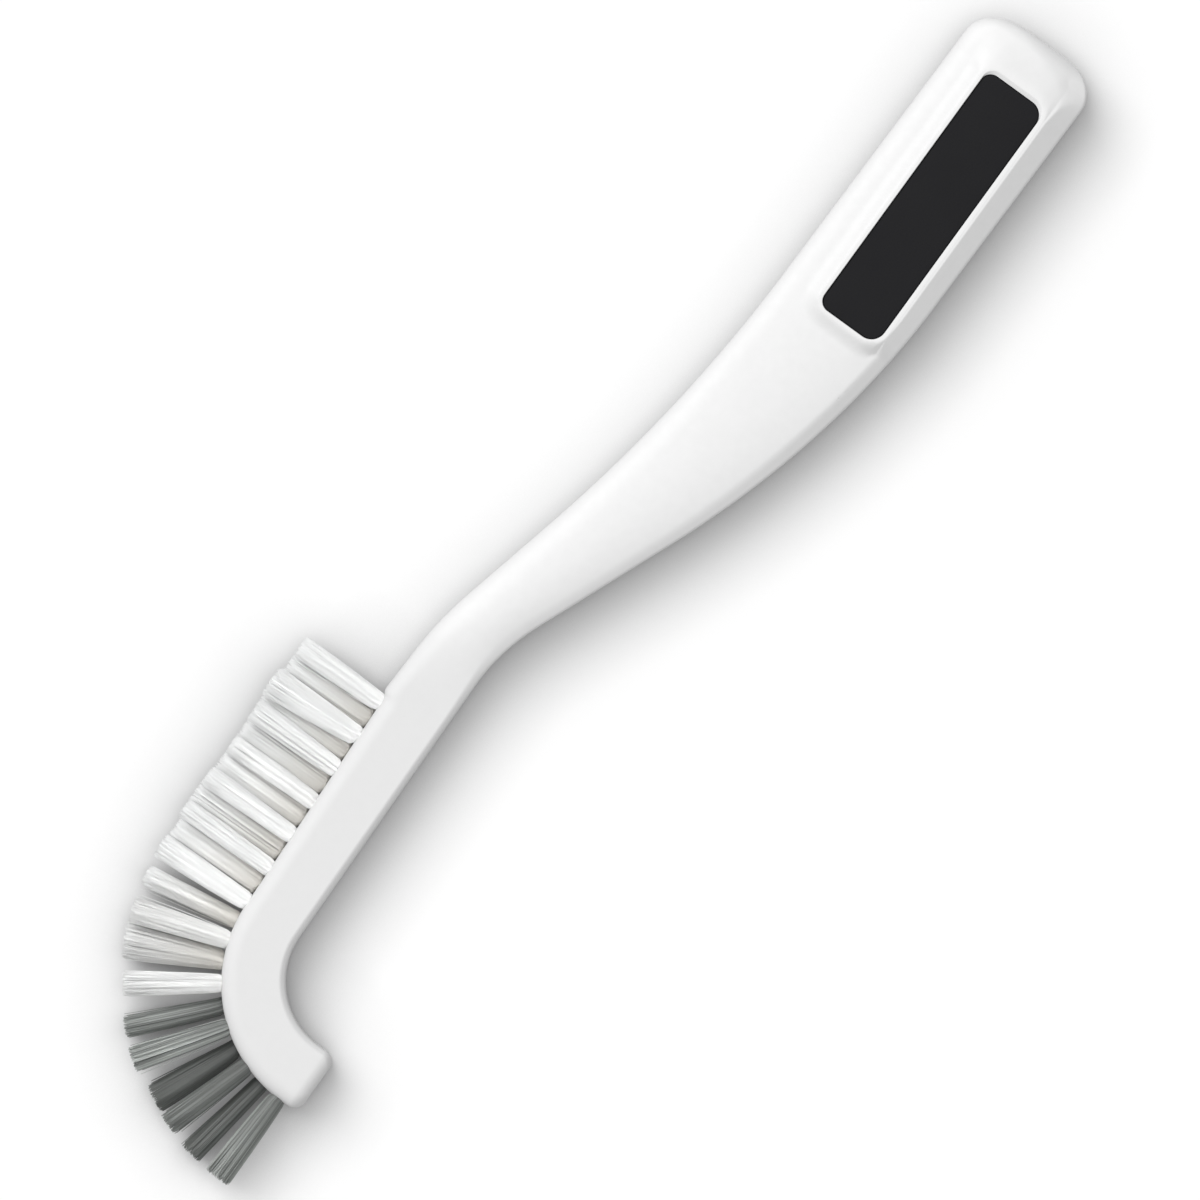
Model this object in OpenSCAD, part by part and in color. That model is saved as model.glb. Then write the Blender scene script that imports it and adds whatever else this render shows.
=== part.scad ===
// Crevice brush, lying on its side on its flat back.
// X runs along the handle from the grip to the nose, the straight bristles point to -Y,
// and Z rises from the plane that the brush lies on. All lengths are in millimetres.

/* [Grip] */
// Width of the grip
grip_w = 26.8; // [23:0.1:30]
// Thickness of the grip beside its raised pad
grip_t = 13.4; // [12:0.1:16]
// Angle between the grip and the brush block, in degrees
grip_tilt = 1.5; // [0:0.1:6]
// How far the middle line of the grip lies behind the back of the block
grip_offset = 15.5; // [8:0.1:22]
// Length over which the end of the grip rounds off, seen from above
grip_end_len = 6.6; // [3:0.1:8]
// How far each corner of the grip end draws in, seen from above
grip_end_inset = 8.8; // [4:0.1:10]
// Rounding of the rim of the grip end in the thickness
grip_end_edge = 2.8; // [1:0.1:4]
// Rounding of the long front edges of the grip
grip_front_edge = 3.6; // [2:0.1:4.5]
// Rounding of the lower back edge of the grip
grip_back_edge = 3.2; // [2:0.1:4.5]
// Width of the slope along the upper back edge of the grip
grip_flank_w = 1.4; // [0.8:0.1:2]
// Height of that slope
grip_flank_h = 1.5; // [0.8:0.1:2.5]

/* [Soft panel] */
// Length of the soft panel
panel_len = 55.7; // [40:0.1:70]
// Width of the soft panel
panel_w = 13.4; // [8:0.1:14]
// Corner radius of the soft panel
panel_corner = 3.3; // [1.5:0.1:3.8]
// Distance from the grip end to the panel
panel_end_land = 9.8; // [9.8:0.1:16]
// How far the middle of the panel lies behind the middle line of the grip
panel_offset = 1.6; // [0:0.1:1.8]
// Angle between the panel and the brush block, in degrees
panel_tilt = 0.7; // [0:0.1:3]
// Thickness of the front sheet of the panel
panel_t = 2; // [1:0.1:3]
// Thickness of the back sheet of the panel
panel_back_t = 1.2; // [0.8:0.1:2]
// How far both sheets lie below the faces around them
panel_sink = 0.4; // [0.1:0.1:1]
// Width of the rim around the panel
rim_w = 1; // [0.6:0.1:1.4]
// Height of the raised pad that carries the panel
pad_h = 1.6; // [0.8:0.1:2.4]
// Width of the slope around the raised pad
pad_slope_w = 1.9; // [1:0.1:2.2]
// Diameter of the pegs that join the front and back sheets
peg_d = 5; // [3:0.1:7]
// Number of pegs
peg_count = 3; // [2:1:4]
// Distance between neighbouring pegs
peg_pitch = 18; // [10:0.1:19]

/* [Neck] */
// Length of the neck, from the foot of the pad to the heel of the block
neck_len = 104.9; // [90:0.1:130]
// Thickness of the neck
neck_t = 12.4; // [11:0.1:15]
// How much the middle of the neck is raised above its edges
neck_crown = 0.9; // [0.2:0.1:1.2]
// Distance from the foot of the pad to the bend of the back edge
back_bend_at = 17.4; // [12:0.1:30]
// Distance from the foot of the pad to the bend of the front edge
front_bend_at = 28.6; // [20:0.1:36]
// Half length of the soft bends where the grip runs into the neck
grip_bend_half = 33; // [20:0.1:33]
// Length of the straight back edge before the heel
back_land = 19.2; // [14:0.1:26]
// Rise of the back edge from there to the nose
back_land_rise = 0.4; // [0:0.1:2]
// Half length of the soft bend where that edge begins
back_bend_half = 8; // [4:0.1:12]
// Length of the nearly straight front edge before the heel
front_land = 17.3; // [12:0.1:24]
// Fall of the front edge along that length
front_land_fall = 0.7; // [0:0.1:2]
// Half length of the soft bend where that edge begins
front_bend_half = 7; // [3:0.1:10]
// Rounding of the upper front edge of the neck
neck_front_edge = 4.4; // [3:0.1:5.5]
// Rounding of the lower edges of the neck
neck_lower_edge = 3.6; // [2:0.1:5]
// Width of the slope along the upper back edge of the neck
neck_flank_w = 2; // [1:0.1:4]
// Height of that slope
neck_flank_h = 2.4; // [1:0.1:4]

/* [Brush block] */
// Length of the straight block, from its heel to the start of the curved nose
block_len = 47.1; // [40:0.1:70]
// Depth of the block from its back to the tuft face, where the nose begins
block_depth = 11.9; // [10:0.1:16]
// How much deeper the block is at the heel
heel_extra = 1.3; // [0:0.1:3]
// How far the neck stands out past the tuft face at the heel
heel_step = 0.8; // [0:0.1:1.5]
// How much deeper the block is at the end of the nose
nose_extra = 0.9; // [0:0.1:2]
// Thickness of the block
block_t = 11; // [10:0.1:14]
// Radius of the inner curve of the nose
nose_inner_r = 14.8; // [12:0.1:24]
// Length of the straight end of the nose, past its quarter turn
nose_tail = 4.2; // [3.2:0.1:10]
// Rounding of the end of the nose
nose_end_r = 2.6; // [1:0.1:3]
// Rounding of the edges beside the tufts
block_front_edge = 3; // [1:0.1:3.2]
// Rounding of the edges along the back of the block
block_back_edge = 1.3; // [0.5:0.1:2]

/* [Tufts] */
// Number of white tufts, counted from the heel
white_count = 17; // [10:1:22]
// Number of grey tufts, at the nose
grey_count = 6; // [1:1:10]
// Diameter of a tuft at its root
tuft_d = 3.3; // [2.6:0.1:3.6]
// Depth of a tuft hole
hole_depth = 6; // [4.5:0.1:7]
// Distance between the two rows of tufts, across the thickness
row_gap = 4.4; // [4.1:0.1:4.8]
// Distance from the heel to the first tuft
first_tuft_at = 1.9; // [1.6:0.1:6]
// Distance from the last tuft to the end of the nose
last_tuft_at = 4.7; // [4.4:0.1:10]
// Length of the bristles beyond the nose
nose_bristle_len = 18.5; // [10:0.1:30]
// Distance from the back of the block to the level tips of the straight bristles
trim_depth = 31.7; // [24:0.1:45]
// Half width of a straight tuft at its tips
straight_spread = 2.7; // [1.6:0.1:3.1]
// Half width of a nose tuft at its tips
nose_spread = 2.2; // [1.6:0.1:3.1]
// Half thickness of a tuft at its tips
tip_thick = 1.8; // [1.4:0.1:1.85]
// Number of strands in a tuft
strands = 18; // [14:1:20]
// Width of a strand
strand_w = 0.34; // [0.25:0.01:0.36]
// Largest difference of a strand from the trimmed length
trim_error = 0.3; // [0:0.05:0.6]

/* [Tuft anchors] */
// Width of the flat wire anchor that holds a folded tuft
anchor_w = 4.2; // [3.9:0.1:4.6]
// Height of the anchor along the hole
anchor_h = 2; // [1:0.1:2.5]
// Thickness of the anchor wire
anchor_t = 0.4; // [0.3:0.05:0.6]

/* [Fits] */
// Clearance between the soft panel and the handle
panel_clearance = 0.05; // [0.02:0.01:0.1]
// Clearance around a tuft and its anchor
tuft_clearance = 0.05; // [0.02:0.01:0.08]

/* [Hidden] */
// Colours as the brush shows them
body_white = [0.95, 0.95, 0.94];
panel_black = [0.14, 0.14, 0.15];
bristle_white = [0.90, 0.91, 0.90];
bristle_grey = [0.34, 0.36, 0.35];
wire_steel = [0.72, 0.73, 0.75];

// Places along X, with the origin under the middle of the whole brush
heel_x = 40;
block_back_y = 0.7;
arc_x = heel_x + block_len;
arc_y = block_back_y + nose_inner_r;
nose_mid_r = nose_inner_r + block_depth / 2;
nose_turn = 90;
pad_foot_x = heel_x - neck_len;
grip_end_x = pad_foot_x - pad_slope_w - rim_w - panel_len - panel_end_land;

// How far the raised pad reaches down into the grip
pad_root = 0.6;
// Levels across the thickness
pad_z = grip_t + pad_h;
panel_floor_z = pad_z - panel_sink - panel_t;
back_floor_z = panel_sink + panel_back_t;
block_mid_z = block_t / 2;

// Overshoot of a cut past the face that it opens
cut = 1;
// Sides of the round holes and of the pegs
hole_sides = 48;
// Sides of the rounded corners of the panel
panel_sides = 32;
// Sides of a tuft inside its hole
root_sides = 12;
// Segments of one rounded corner in a section of the handle
corner_steps = 4;
// Middle weight of a rounded corner, which makes a square corner a true arc
corner_weight = sqrt(0.5);
// Largest share of a side that one of its rounded corners may take
corner_share = 0.48;
// Rounding of the ridge along the middle of the crown
crown_edge = neck_front_edge / 2;
// Length over which the grip's section turns into the neck's
grip_blend = 40;
// Length over which the neck's section turns into the block's
heel_blend = 24;
// Length of the neck's step down to the tuft face, at the heel
heel_run = 1.2;
// Half length of the soft bends where the nose begins
nose_bend_half = 3;
// Depth below the tuft face of the route that the tufts are spaced along
tuft_route_depth = 2.1;
// Turn between neighbouring strands, which spreads them evenly over a tuft
strand_turn = 137.508;
// Length of a strand inside its root
strand_root = 0.5;
// Height of a tuft's root above the tuft face
root_proud = 0.3;
// Turns that scatter the strand ends by number of strand and number of tuft
scatter = [97, 53];

function sum(values, i = 0) = i < len(values) ? values[i] + sum(values, i + 1) : 0;
function flat(lists) = [for (list = lists, item = list) item];
function unit(v) = v / norm(v);
function ease(t) = let (u = max(0, min(1, t))) u * u * (3 - 2 * u);

// Value of a size at x, from its values in the grip, the neck and the block
function along(x, grip, neck, block) =
    grip
    + (neck - grip) * ease((x - pad_foot_x) / grip_blend)
    + (block - neck) * ease((x - heel_x + heel_blend) / heel_blend);

// Height that a change of slope at distance d adds, softened over a half length
function soft_bend(d, slope, half) =
    d <= -half ? 0 : d >= half ? slope * d : slope * pow(d + half, 2) / (4 * half);

// Height at x of a line through points, with each inner corner softened
function line_slope(points, i) =
    (points[i + 1].y - points[i].y) / (points[i + 1].x - points[i].x);
function soft_line(x, points, halves) =
    points[0].y
    + line_slope(points, 0) * (x - points[0].x)
    + sum([for (i = [1 : len(points) - 2])
        soft_bend(
            x - points[i].x,
            line_slope(points, i) - line_slope(points, i - 1),
            halves[i - 1]
        )]);

// Route of the handle's sections: s is x up to the nose, and then runs on round the nose
turn_len = nose_mid_r * nose_turn * PI / 180;
tail_s = arc_x + turn_len;
end_s = tail_s + nose_tail;
function turn_angle(s) = max(0, min(nose_turn, (s - arc_x) / turn_len * nose_turn));
function place(s, y, z) =
    s <= arc_x ? [s, y, z] :
    let (a = turn_angle(s), r = arc_y - y)
    [arc_x + r * sin(a), arc_y - r * cos(a) + max(0, s - tail_s), z];

// Outline of the handle, seen from above
function grip_mid_y(x) = block_back_y + grip_offset - (x - pad_foot_x) * tan(grip_tilt);
function grip_point(x, side) = [x, grip_mid_y(x) + side * grip_w / 2];
block_front_y = block_back_y - block_depth;
heel_y = block_front_y - heel_extra;
back_line = [
    grip_point(grip_end_x, 1),
    grip_point(pad_foot_x + back_bend_at, 1),
    [heel_x - back_land, block_back_y - back_land_rise],
    [arc_x, block_back_y],
    [end_s, block_back_y],
];
front_line = [
    grip_point(grip_end_x, -1),
    grip_point(pad_foot_x + front_bend_at, -1),
    [heel_x - front_land, heel_y - heel_step + front_land_fall],
    [heel_x - heel_run / 2, heel_y - heel_step],
    [heel_x + heel_run / 2, heel_y],
    [arc_x, block_front_y],
    [end_s, block_front_y - nose_extra],
];
function back_y(s) = soft_line(s, back_line, [grip_bend_half, back_bend_half, nose_bend_half]);
function front_y(s) =
    soft_line(
        s,
        front_line,
        [grip_bend_half, front_bend_half, heel_run / 2, heel_run / 2, nose_bend_half]
    );

// How far an outline draws in at distance t from an end that rounds off over a length
function end_inset(t, length, inset) =
    t >= length ? 0 : inset * (1 - sqrt(max(0, 1 - pow((length - t) / length, 2))));

// One rounded corner of a section, from the side towards p to the side towards n
function corner(p, v, n, setback) =
    let (
        a = v + unit(p - v) * min(setback, corner_share * norm(p - v)),
        b = v + unit(n - v) * min(setback, corner_share * norm(n - v))
    )
    [for (k = [0 : corner_steps])
        let (t = k / corner_steps, wa = pow(1 - t, 2), wv = 2 * corner_weight * t * (1 - t), wb = t * t)
        (wa * a + wv * v + wb * b) / (wa + wv + wb)];

// Section of the handle at s, as corners in the order front, back, flank, top
function section(s) =
    let (
        grip_t_in = end_inset(s - grip_end_x, grip_end_edge, grip_end_edge),
        nose_in = end_inset(end_s - s, nose_end_r, nose_end_r),
        side_in = end_inset(s - grip_end_x, grip_end_len, grip_end_inset) + nose_in,
        low = grip_t_in + nose_in,
        front = front_y(s) + side_in,
        back = back_y(s) - side_in,
        top = along(s, grip_t, neck_t, block_t) - low,
        crown = along(s, 0, neck_crown, 0),
        flank_w = along(s, grip_flank_w, neck_flank_w, block_back_edge),
        flank_h = along(s, grip_flank_h, neck_flank_h, block_back_edge),
        upper_front = along(s, grip_front_edge, neck_front_edge, block_front_edge),
        lower_front = along(s, grip_front_edge, neck_lower_edge, block_front_edge),
        lower_back = along(s, grip_back_edge, neck_lower_edge, block_back_edge),
        flank_edge = min(flank_w, flank_h) / 2,
        corners = [
            [[front, low], lower_front],
            [[back, low], lower_back],
            [[back, top - flank_h], flank_edge],
            [[back - flank_w, top], flank_edge],
            [[(front + back) / 2, top + crown], crown_edge],
            [[front, top], upper_front],
        ],
        n = len(corners)
    )
    flat([for (i = [0 : n - 1])
        corner(corners[(i + n - 1) % n][0], corners[i][0], corners[(i + 1) % n][0], corners[i][1])]);

// Stations of the sections: close together at both ends and along the bends
grip_end_steps = 6;
grip_steps = 2;
neck_steps = 28;
heel_steps = 4;
block_steps = 3;
nose_steps = 12;
nose_end_steps = 5;
function steps(a, b, n) = [for (i = [0 : n - 1]) a + (b - a) * i / n];
function end_steps(a, length, n) = [for (i = [0 : n - 1]) a + length * (1 - cos(90 * i / n))];
stations = concat(
    end_steps(grip_end_x, grip_end_len, grip_end_steps),
    steps(grip_end_x + grip_end_len, pad_foot_x - grip_bend_half / 2, grip_steps),
    steps(pad_foot_x - grip_bend_half / 2, heel_x - heel_run, neck_steps),
    steps(heel_x - heel_run, heel_x + heel_run, heel_steps),
    steps(heel_x + heel_run, arc_x, block_steps),
    steps(arc_x, tail_s, nose_steps),
    [tail_s],
    [for (k = [nose_end_steps : -1 : 0]) end_s - nose_end_r * (1 - cos(90 * k / nose_end_steps))]
);

// Skin through a row of closed sections that all have the same number of points
module skin(rings) {
    m = len(rings[0]);
    last = len(rings) - 1;
    sides = [for (k = [0 : last - 1], i = [0 : m - 1])
        let (a = k * m + i, b = k * m + (i + 1) % m) each [[a, a + m, b], [b, a + m, b + m]]];
    ends = [[for (i = [0 : m - 1]) i], [for (i = [m - 1 : -1 : 0]) last * m + i]];
    polyhedron(points = flat(rings), faces = concat(sides, ends), convexity = 6);
}

module handle_body() {
    skin([for (s = stations) [for (p = section(s)) place(s, p.x, p.y)]]);
}

// Outline of the soft panel grown by a margin, seen from above
module panel_outline(margin) {
    radius = panel_corner + margin;
    length = panel_len + 2 * margin;
    width = panel_w + 2 * margin;
    square([length - 2 * radius, width], center = true);
    square([length, width - 2 * radius], center = true);
    for (x = [-1, 1], y = [-1, 1])
        translate([x * (length / 2 - radius), y * (width / 2 - radius)])
            circle(r = radius, $fn = panel_sides);
}

module at_panel() {
    x = grip_end_x + panel_end_land + panel_len / 2;
    translate([x, grip_mid_y(x) + panel_offset, 0]) rotate([0, 0, -panel_tilt]) children();
}

module panel_sheet(z, height, margin) {
    translate([0, 0, z]) linear_extrude(height = height) panel_outline(margin);
}

module pegs(z, height, diameter) {
    for (i = [0 : peg_count - 1])
        translate([(i - (peg_count - 1) / 2) * peg_pitch, 0, z])
            cylinder(h = height, d = diameter, $fn = hole_sides);
}

// The pad's sloping sides run on down into the grip, so that they cross its top face
module raised_pad() {
    layer = 0.01;
    foot_w = pad_slope_w * (pad_h + pad_root) / pad_h;
    at_panel() hull() {
        panel_sheet(grip_t - pad_root, layer, rim_w + foot_w);
        panel_sheet(pad_z - layer, layer, rim_w);
    }
}

module panel_space() {
    at_panel() {
        panel_sheet(panel_floor_z, pad_z - panel_floor_z + cut, panel_clearance);
        panel_sheet(-cut, back_floor_z + cut, panel_clearance);
        pegs(back_floor_z - cut, panel_floor_z - back_floor_z + 2 * cut, peg_d + 2 * panel_clearance);
    }
}

// Places of the tufts, measured along a route just below the tuft face
tuft_count = white_count + grey_count;
tuft_route_r = nose_inner_r + block_depth - tuft_route_depth;
tuft_turn_len = tuft_route_r * nose_turn * PI / 180;
tuft_route_len = block_len + tuft_turn_len + nose_tail;
tuft_pitch = (tuft_route_len - first_tuft_at - last_tuft_at) / (tuft_count - 1);
function tuft_at(i) = first_tuft_at + i * tuft_pitch - block_len;
function tuft_angle(i) = max(0, min(nose_turn, tuft_at(i) / tuft_turn_len * nose_turn));
function tuft_s(i) =
    arc_x + min(0, tuft_at(i))
    + tuft_angle(i) / nose_turn * turn_len
    + max(0, tuft_at(i) - tuft_turn_len);
function tuft_root(i) = place(tuft_s(i), front_y(tuft_s(i)), tuft_z(i));
function tuft_z(i) = block_mid_z + (i % 2 == 0 ? row_gap : -row_gap) / 2;

// Moves a tuft's own frame, whose bristles point to -Y, to its place on the block
module at_tuft(i) {
    translate(tuft_root(i)) rotate([0, 0, tuft_angle(i)]) children();
}

module along_y(from, to, diameter, sides) {
    translate([0, to, 0]) rotate([90, 0, 0]) cylinder(h = to - from, d = diameter, $fn = sides);
}

module anchor_blade(margin) {
    translate([-anchor_w / 2 - margin, hole_depth - anchor_h - margin, -anchor_t / 2 - margin])
        cube([anchor_w + 2 * margin, anchor_h + margin, anchor_t + 2 * margin]);
}

module tuft_space(i) {
    at_tuft(i) {
        along_y(-cut, hole_depth, tuft_d + 2 * tuft_clearance, hole_sides);
        anchor_blade(tuft_clearance);
    }
}

// One strand with three sides, from inside the root to its tip
module strand(root, tip) {
    r = strand_w / sqrt(3);
    rim = [for (a = [90, 210, 330]) [r * cos(a), 0, r * sin(a)]];
    polyhedron(
        points = concat([for (p = rim) root + p], [for (p = rim) tip + p]),
        faces = [[0, 1, 2], [5, 4, 3], [0, 3, 1], [1, 3, 4], [1, 4, 2], [2, 4, 5], [2, 5, 0], [0, 5, 3]]
    );
}

// Strands spread evenly from the root, each in its own place so that none cross
module strand_fan(i, length, spread) {
    root_r = tuft_d / 2 - strand_w;
    for (k = [0 : strands - 1]) {
        r = sqrt((k + 0.5) / strands);
        x = r * cos(k * strand_turn);
        z = r * sin(k * strand_turn);
        tip_y = -length + trim_error * sin(k * scatter[0] + i * scatter[1]);
        strand([x * root_r, strand_root - root_proud, z * root_r], [x * spread, tip_y, z * tip_thick]);
    }
}

module tuft(i) {
    straight = tuft_at(i) < 0;
    straight_len = tuft_root(i).y - block_back_y + trim_depth;
    at_tuft(i) {
        difference() {
            along_y(-root_proud, hole_depth - tuft_clearance, tuft_d, root_sides);
            anchor_blade(tuft_clearance);
        }
        strand_fan(
            i,
            straight ? straight_len : nose_bristle_len,
            straight ? straight_spread : nose_spread
        );
    }
}

module handle() {
    color(body_white) difference() {
        union() {
            handle_body();
            raised_pad();
        }
        panel_space();
        for (i = [0 : tuft_count - 1]) tuft_space(i);
    }
}

module grip_inlay() {
    color(panel_black) at_panel() {
        panel_sheet(panel_floor_z, panel_t, 0);
        panel_sheet(panel_sink, panel_back_t, 0);
        pegs(back_floor_z - panel_back_t / 2, panel_floor_z - back_floor_z + panel_back_t, peg_d);
    }
}

module tuft_anchors() {
    color(wire_steel) for (i = [0 : tuft_count - 1]) at_tuft(i) anchor_blade(0);
}

// Node names of the tufts, numbered with two digits from the heel
function two_digits(i) = str(i < 10 ? "0" : "", i);
white_names = [for (i = [1 : white_count]) str("white_tuft_", two_digits(i))];
grey_names = [for (i = [1 : grey_count]) str("grey_tuft_", two_digits(i))];

handle();
grip_inlay();
tuft_anchors();
for (i = [0 : white_count - 1])
    color(bristle_white) tuft(i);
for (i = [0 : grey_count - 1])
    color(bristle_grey) tuft(white_count + i);
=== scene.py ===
"""Crevice brush: the looks of a moulded hand brush, dressed on its packed construction.

The brush lies on its flat back. X runs along the handle from the grip to the nose, the
straight bristles point to -Y, and Z rises from the floor. Sizes are in millimetres, and
each mesh turns them into metres.
"""

import logging
import math
from dataclasses import dataclass
from enum import Enum
from functools import partial

import bmesh
import bpy
import numpy as np
from mathutils import Matrix, Vector


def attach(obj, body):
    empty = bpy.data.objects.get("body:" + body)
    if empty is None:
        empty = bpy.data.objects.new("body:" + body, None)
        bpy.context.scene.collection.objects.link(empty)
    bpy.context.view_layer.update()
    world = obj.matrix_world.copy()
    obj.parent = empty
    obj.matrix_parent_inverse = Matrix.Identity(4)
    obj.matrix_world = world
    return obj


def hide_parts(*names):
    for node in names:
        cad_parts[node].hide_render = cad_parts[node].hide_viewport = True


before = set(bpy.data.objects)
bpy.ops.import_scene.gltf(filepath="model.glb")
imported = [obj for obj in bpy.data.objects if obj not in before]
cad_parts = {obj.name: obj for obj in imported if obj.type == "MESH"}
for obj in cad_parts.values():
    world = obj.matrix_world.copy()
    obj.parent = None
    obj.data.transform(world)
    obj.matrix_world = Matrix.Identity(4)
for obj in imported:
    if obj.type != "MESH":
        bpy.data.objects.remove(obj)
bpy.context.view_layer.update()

log = logging.getLogger("crevice_brush")

MM = 0.001
TINY = 1e-6
BODY = "root"
GOLDEN_TURN = math.radians(137.508)
TONE = "tone"
PAINTED_SHADE = "depth"
BUNDLE_NORMAL = "bundle_normal"

Points = np.ndarray
Socket = bpy.types.NodeSocket


class Slot(Enum):
    """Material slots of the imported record."""

    HANDLE = "handle_plastic"
    GRIP = "grip_rubber"
    WHITE = "white_bristle"
    GREY = "grey_bristle"
    WIRE = "anchor_wire"


class Row(Enum):
    """The two staggered rows of tufts, by the side of the block's middle they stand on."""

    UPPER = 0.5
    LOWER = -0.5


def linear(code: str) -> tuple[float, float, float, float]:
    """Turns an sRGB hex colour into the linear values that a shader takes.

    Args:
        code: the colour, such as "#f4f4f2".

    Returns:
        Red, green, blue and a full alpha.
    """
    values = [int(code[i : i + 2], 16) / 255 for i in (1, 3, 5)]
    red, green, blue = [v / 12.92 if v <= 0.04045 else ((v + 0.055) / 1.055) ** 2.4 for v in values]
    return red, green, blue, 1.0


def ease(t: Points | float) -> Points | float:
    """Runs smoothly from 0 to 1 as t does."""
    u = np.clip(t, 0.0, 1.0)
    return u * u * (3 - 2 * u)


def soft_min(a: Points | float, b: Points | float, width: Points | float) -> Points:
    """The lower of two heights, with their crossing rounded.

    Args:
        a: first height.
        b: second height.
        width: difference of the heights within which the crossing is rounded.

    Returns:
        The rounded lower height.
    """
    safe = np.maximum(width, TINY)
    h = np.clip(0.5 + 0.5 * (b - a) / safe, 0.0, 1.0)
    return b + (a - b) * h - safe * h * (1 - h)


def soft_max(a: Points | float, b: Points | float, width: Points | float) -> Points:
    """The higher of two heights, with their crossing rounded."""
    return -soft_min(-np.asarray(a), -np.asarray(b), width)


def bezier_corner(start: Points, corner: Points, end: Points, count: int) -> Points:
    """Points along a rounded corner, a true arc where the corner is even.

    Args:
        start: where the rounding begins.
        corner: the sharp corner.
        end: where the rounding ends.
        count: number of points, both ends among them.

    Returns:
        The points, one row each.
    """
    before = (start - corner) / max(np.linalg.norm(start - corner), TINY)
    after = (end - corner) / max(np.linalg.norm(end - corner), TINY)
    weight = math.sqrt(max(0.0, (1 - float(before @ after)) / 2))
    t = np.linspace(0.0, 1.0, count)[:, None]
    parts = (1 - t) ** 2, 2 * weight * t * (1 - t), t**2
    return (parts[0] * start + parts[1] * corner + parts[2] * end) / sum(parts)


def rounded_outline(length: float, width: float, near: float, far: float, count: int = 12) -> Points:
    """Outline of a panel with rounded corners, anticlockwise from above.

    Args:
        length: size along x.
        width: size along y.
        near: corner radius on the -y side.
        far: corner radius on the +y side.
        count: points on each corner.

    Returns:
        The x and y of each point.
    """
    turns = np.linspace(0.0, math.pi / 2, count)
    rows = []
    for quarter, (sx, sy) in enumerate(((1, 1), (-1, 1), (-1, -1), (1, -1))):
        radius = far if sy > 0 else near
        angles = turns + quarter * math.pi / 2
        centre = np.array([sx * (length / 2 - radius), sy * (width / 2 - radius)])
        rows.append(centre + radius * np.column_stack([np.cos(angles), np.sin(angles)]))
    return np.concatenate(rows)


def at_height(outline: Points, z: float) -> Points:
    """The outline as a ring of points at one height."""
    return np.column_stack([outline, np.full(len(outline), z)])


def shell(name: str, rings: list[Points], cap_rings: int = 0) -> bpy.types.Mesh:
    """Skins a closed shell through rings that all have the same number of points.

    Args:
        name: the mesh's name.
        rings: the rings in order, in millimetres.
        cap_rings: smaller rings laid on each end, so that a wide end shades evenly.

    Returns:
        The mesh in metres, with its faces outwards.
    """
    start, end = rings[0].mean(axis=0), rings[-1].mean(axis=0)
    shares = [k / (cap_rings + 1) for k in range(1, cap_rings + 1)]
    first_cap = [start + (rings[0] - start) * share for share in shares]
    last_cap = [end + (rings[-1] - end) * share for share in reversed(shares)]
    rows = first_cap + list(rings) + last_cap
    count = len(rows[0])
    points = np.concatenate(rows + [start[None], end[None]]) * MM
    first = len(points) - 2
    faces = []
    for k in range(len(rows) - 1):
        for i in range(count):
            j = (i + 1) % count
            faces.append((k * count + i, k * count + j, (k + 1) * count + j, (k + 1) * count + i))
    last_row = (len(rows) - 1) * count
    for i in range(count):
        j = (i + 1) % count
        faces.append((first, j, i))
        faces.append((first + 1, last_row + i, last_row + j))
    mesh = bpy.data.meshes.new(name)
    mesh.from_pydata(points.tolist(), [], faces)
    return face_outwards(mesh)


def face_outwards(mesh: bpy.types.Mesh) -> bpy.types.Mesh:
    """Merges doubled points of a mesh and turns all its faces outwards."""
    merge_within = 1e-7
    shape = bmesh.new()
    shape.from_mesh(mesh)
    bmesh.ops.remove_doubles(shape, verts=shape.verts, dist=merge_within)
    bmesh.ops.recalc_face_normals(shape, faces=shape.faces)
    shape.to_mesh(mesh)
    shape.free()
    return mesh


def joined(name: str, meshes: list[bpy.types.Mesh]) -> bpy.types.Mesh:
    """Puts several meshes in one, without merging their points."""
    shape = bmesh.new()
    for mesh in meshes:
        shape.from_mesh(mesh)
        bpy.data.meshes.remove(mesh)
    result = bpy.data.meshes.new(name)
    shape.to_mesh(result)
    shape.free()
    return result


def rod(name: str, start: Vector, end: Vector, radius: float, sides: int = 40) -> bpy.types.Mesh:
    """A round rod between two points, closed at both ends.

    Args:
        name: the mesh's name.
        start: middle of the first end, in millimetres.
        end: middle of the other end.
        radius: the rod's radius.
        sides: number of its sides.

    Returns:
        The mesh in metres.
    """
    turn = (end - start).to_track_quat("Z", "Y").to_matrix()
    rings = []
    for middle in (start, end):
        ring = [
            middle + turn @ Vector((radius * math.cos(a), radius * math.sin(a), 0.0))
            for a in np.linspace(0.0, 2 * math.pi, sides, endpoint=False)
        ]
        rings.append(np.array(ring))
    return shell(name, rings)


def new_object(name: str, data: bpy.types.ID) -> bpy.types.Object:
    """Links a mesh, lamp or camera to the scene as an object at the origin."""
    piece = bpy.data.objects.new(name, data)
    bpy.context.scene.collection.objects.link(piece)
    return piece


def baked(piece: bpy.types.Object) -> bpy.types.Object:
    """Turns the result of an object's modifiers into its plain mesh, and removes them."""
    graph = bpy.context.evaluated_depsgraph_get()
    graph.update()
    mesh = bpy.data.meshes.new_from_object(piece.evaluated_get(graph))
    mesh.name = piece.name
    piece.modifiers.clear()
    piece.data = mesh
    return piece


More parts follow.
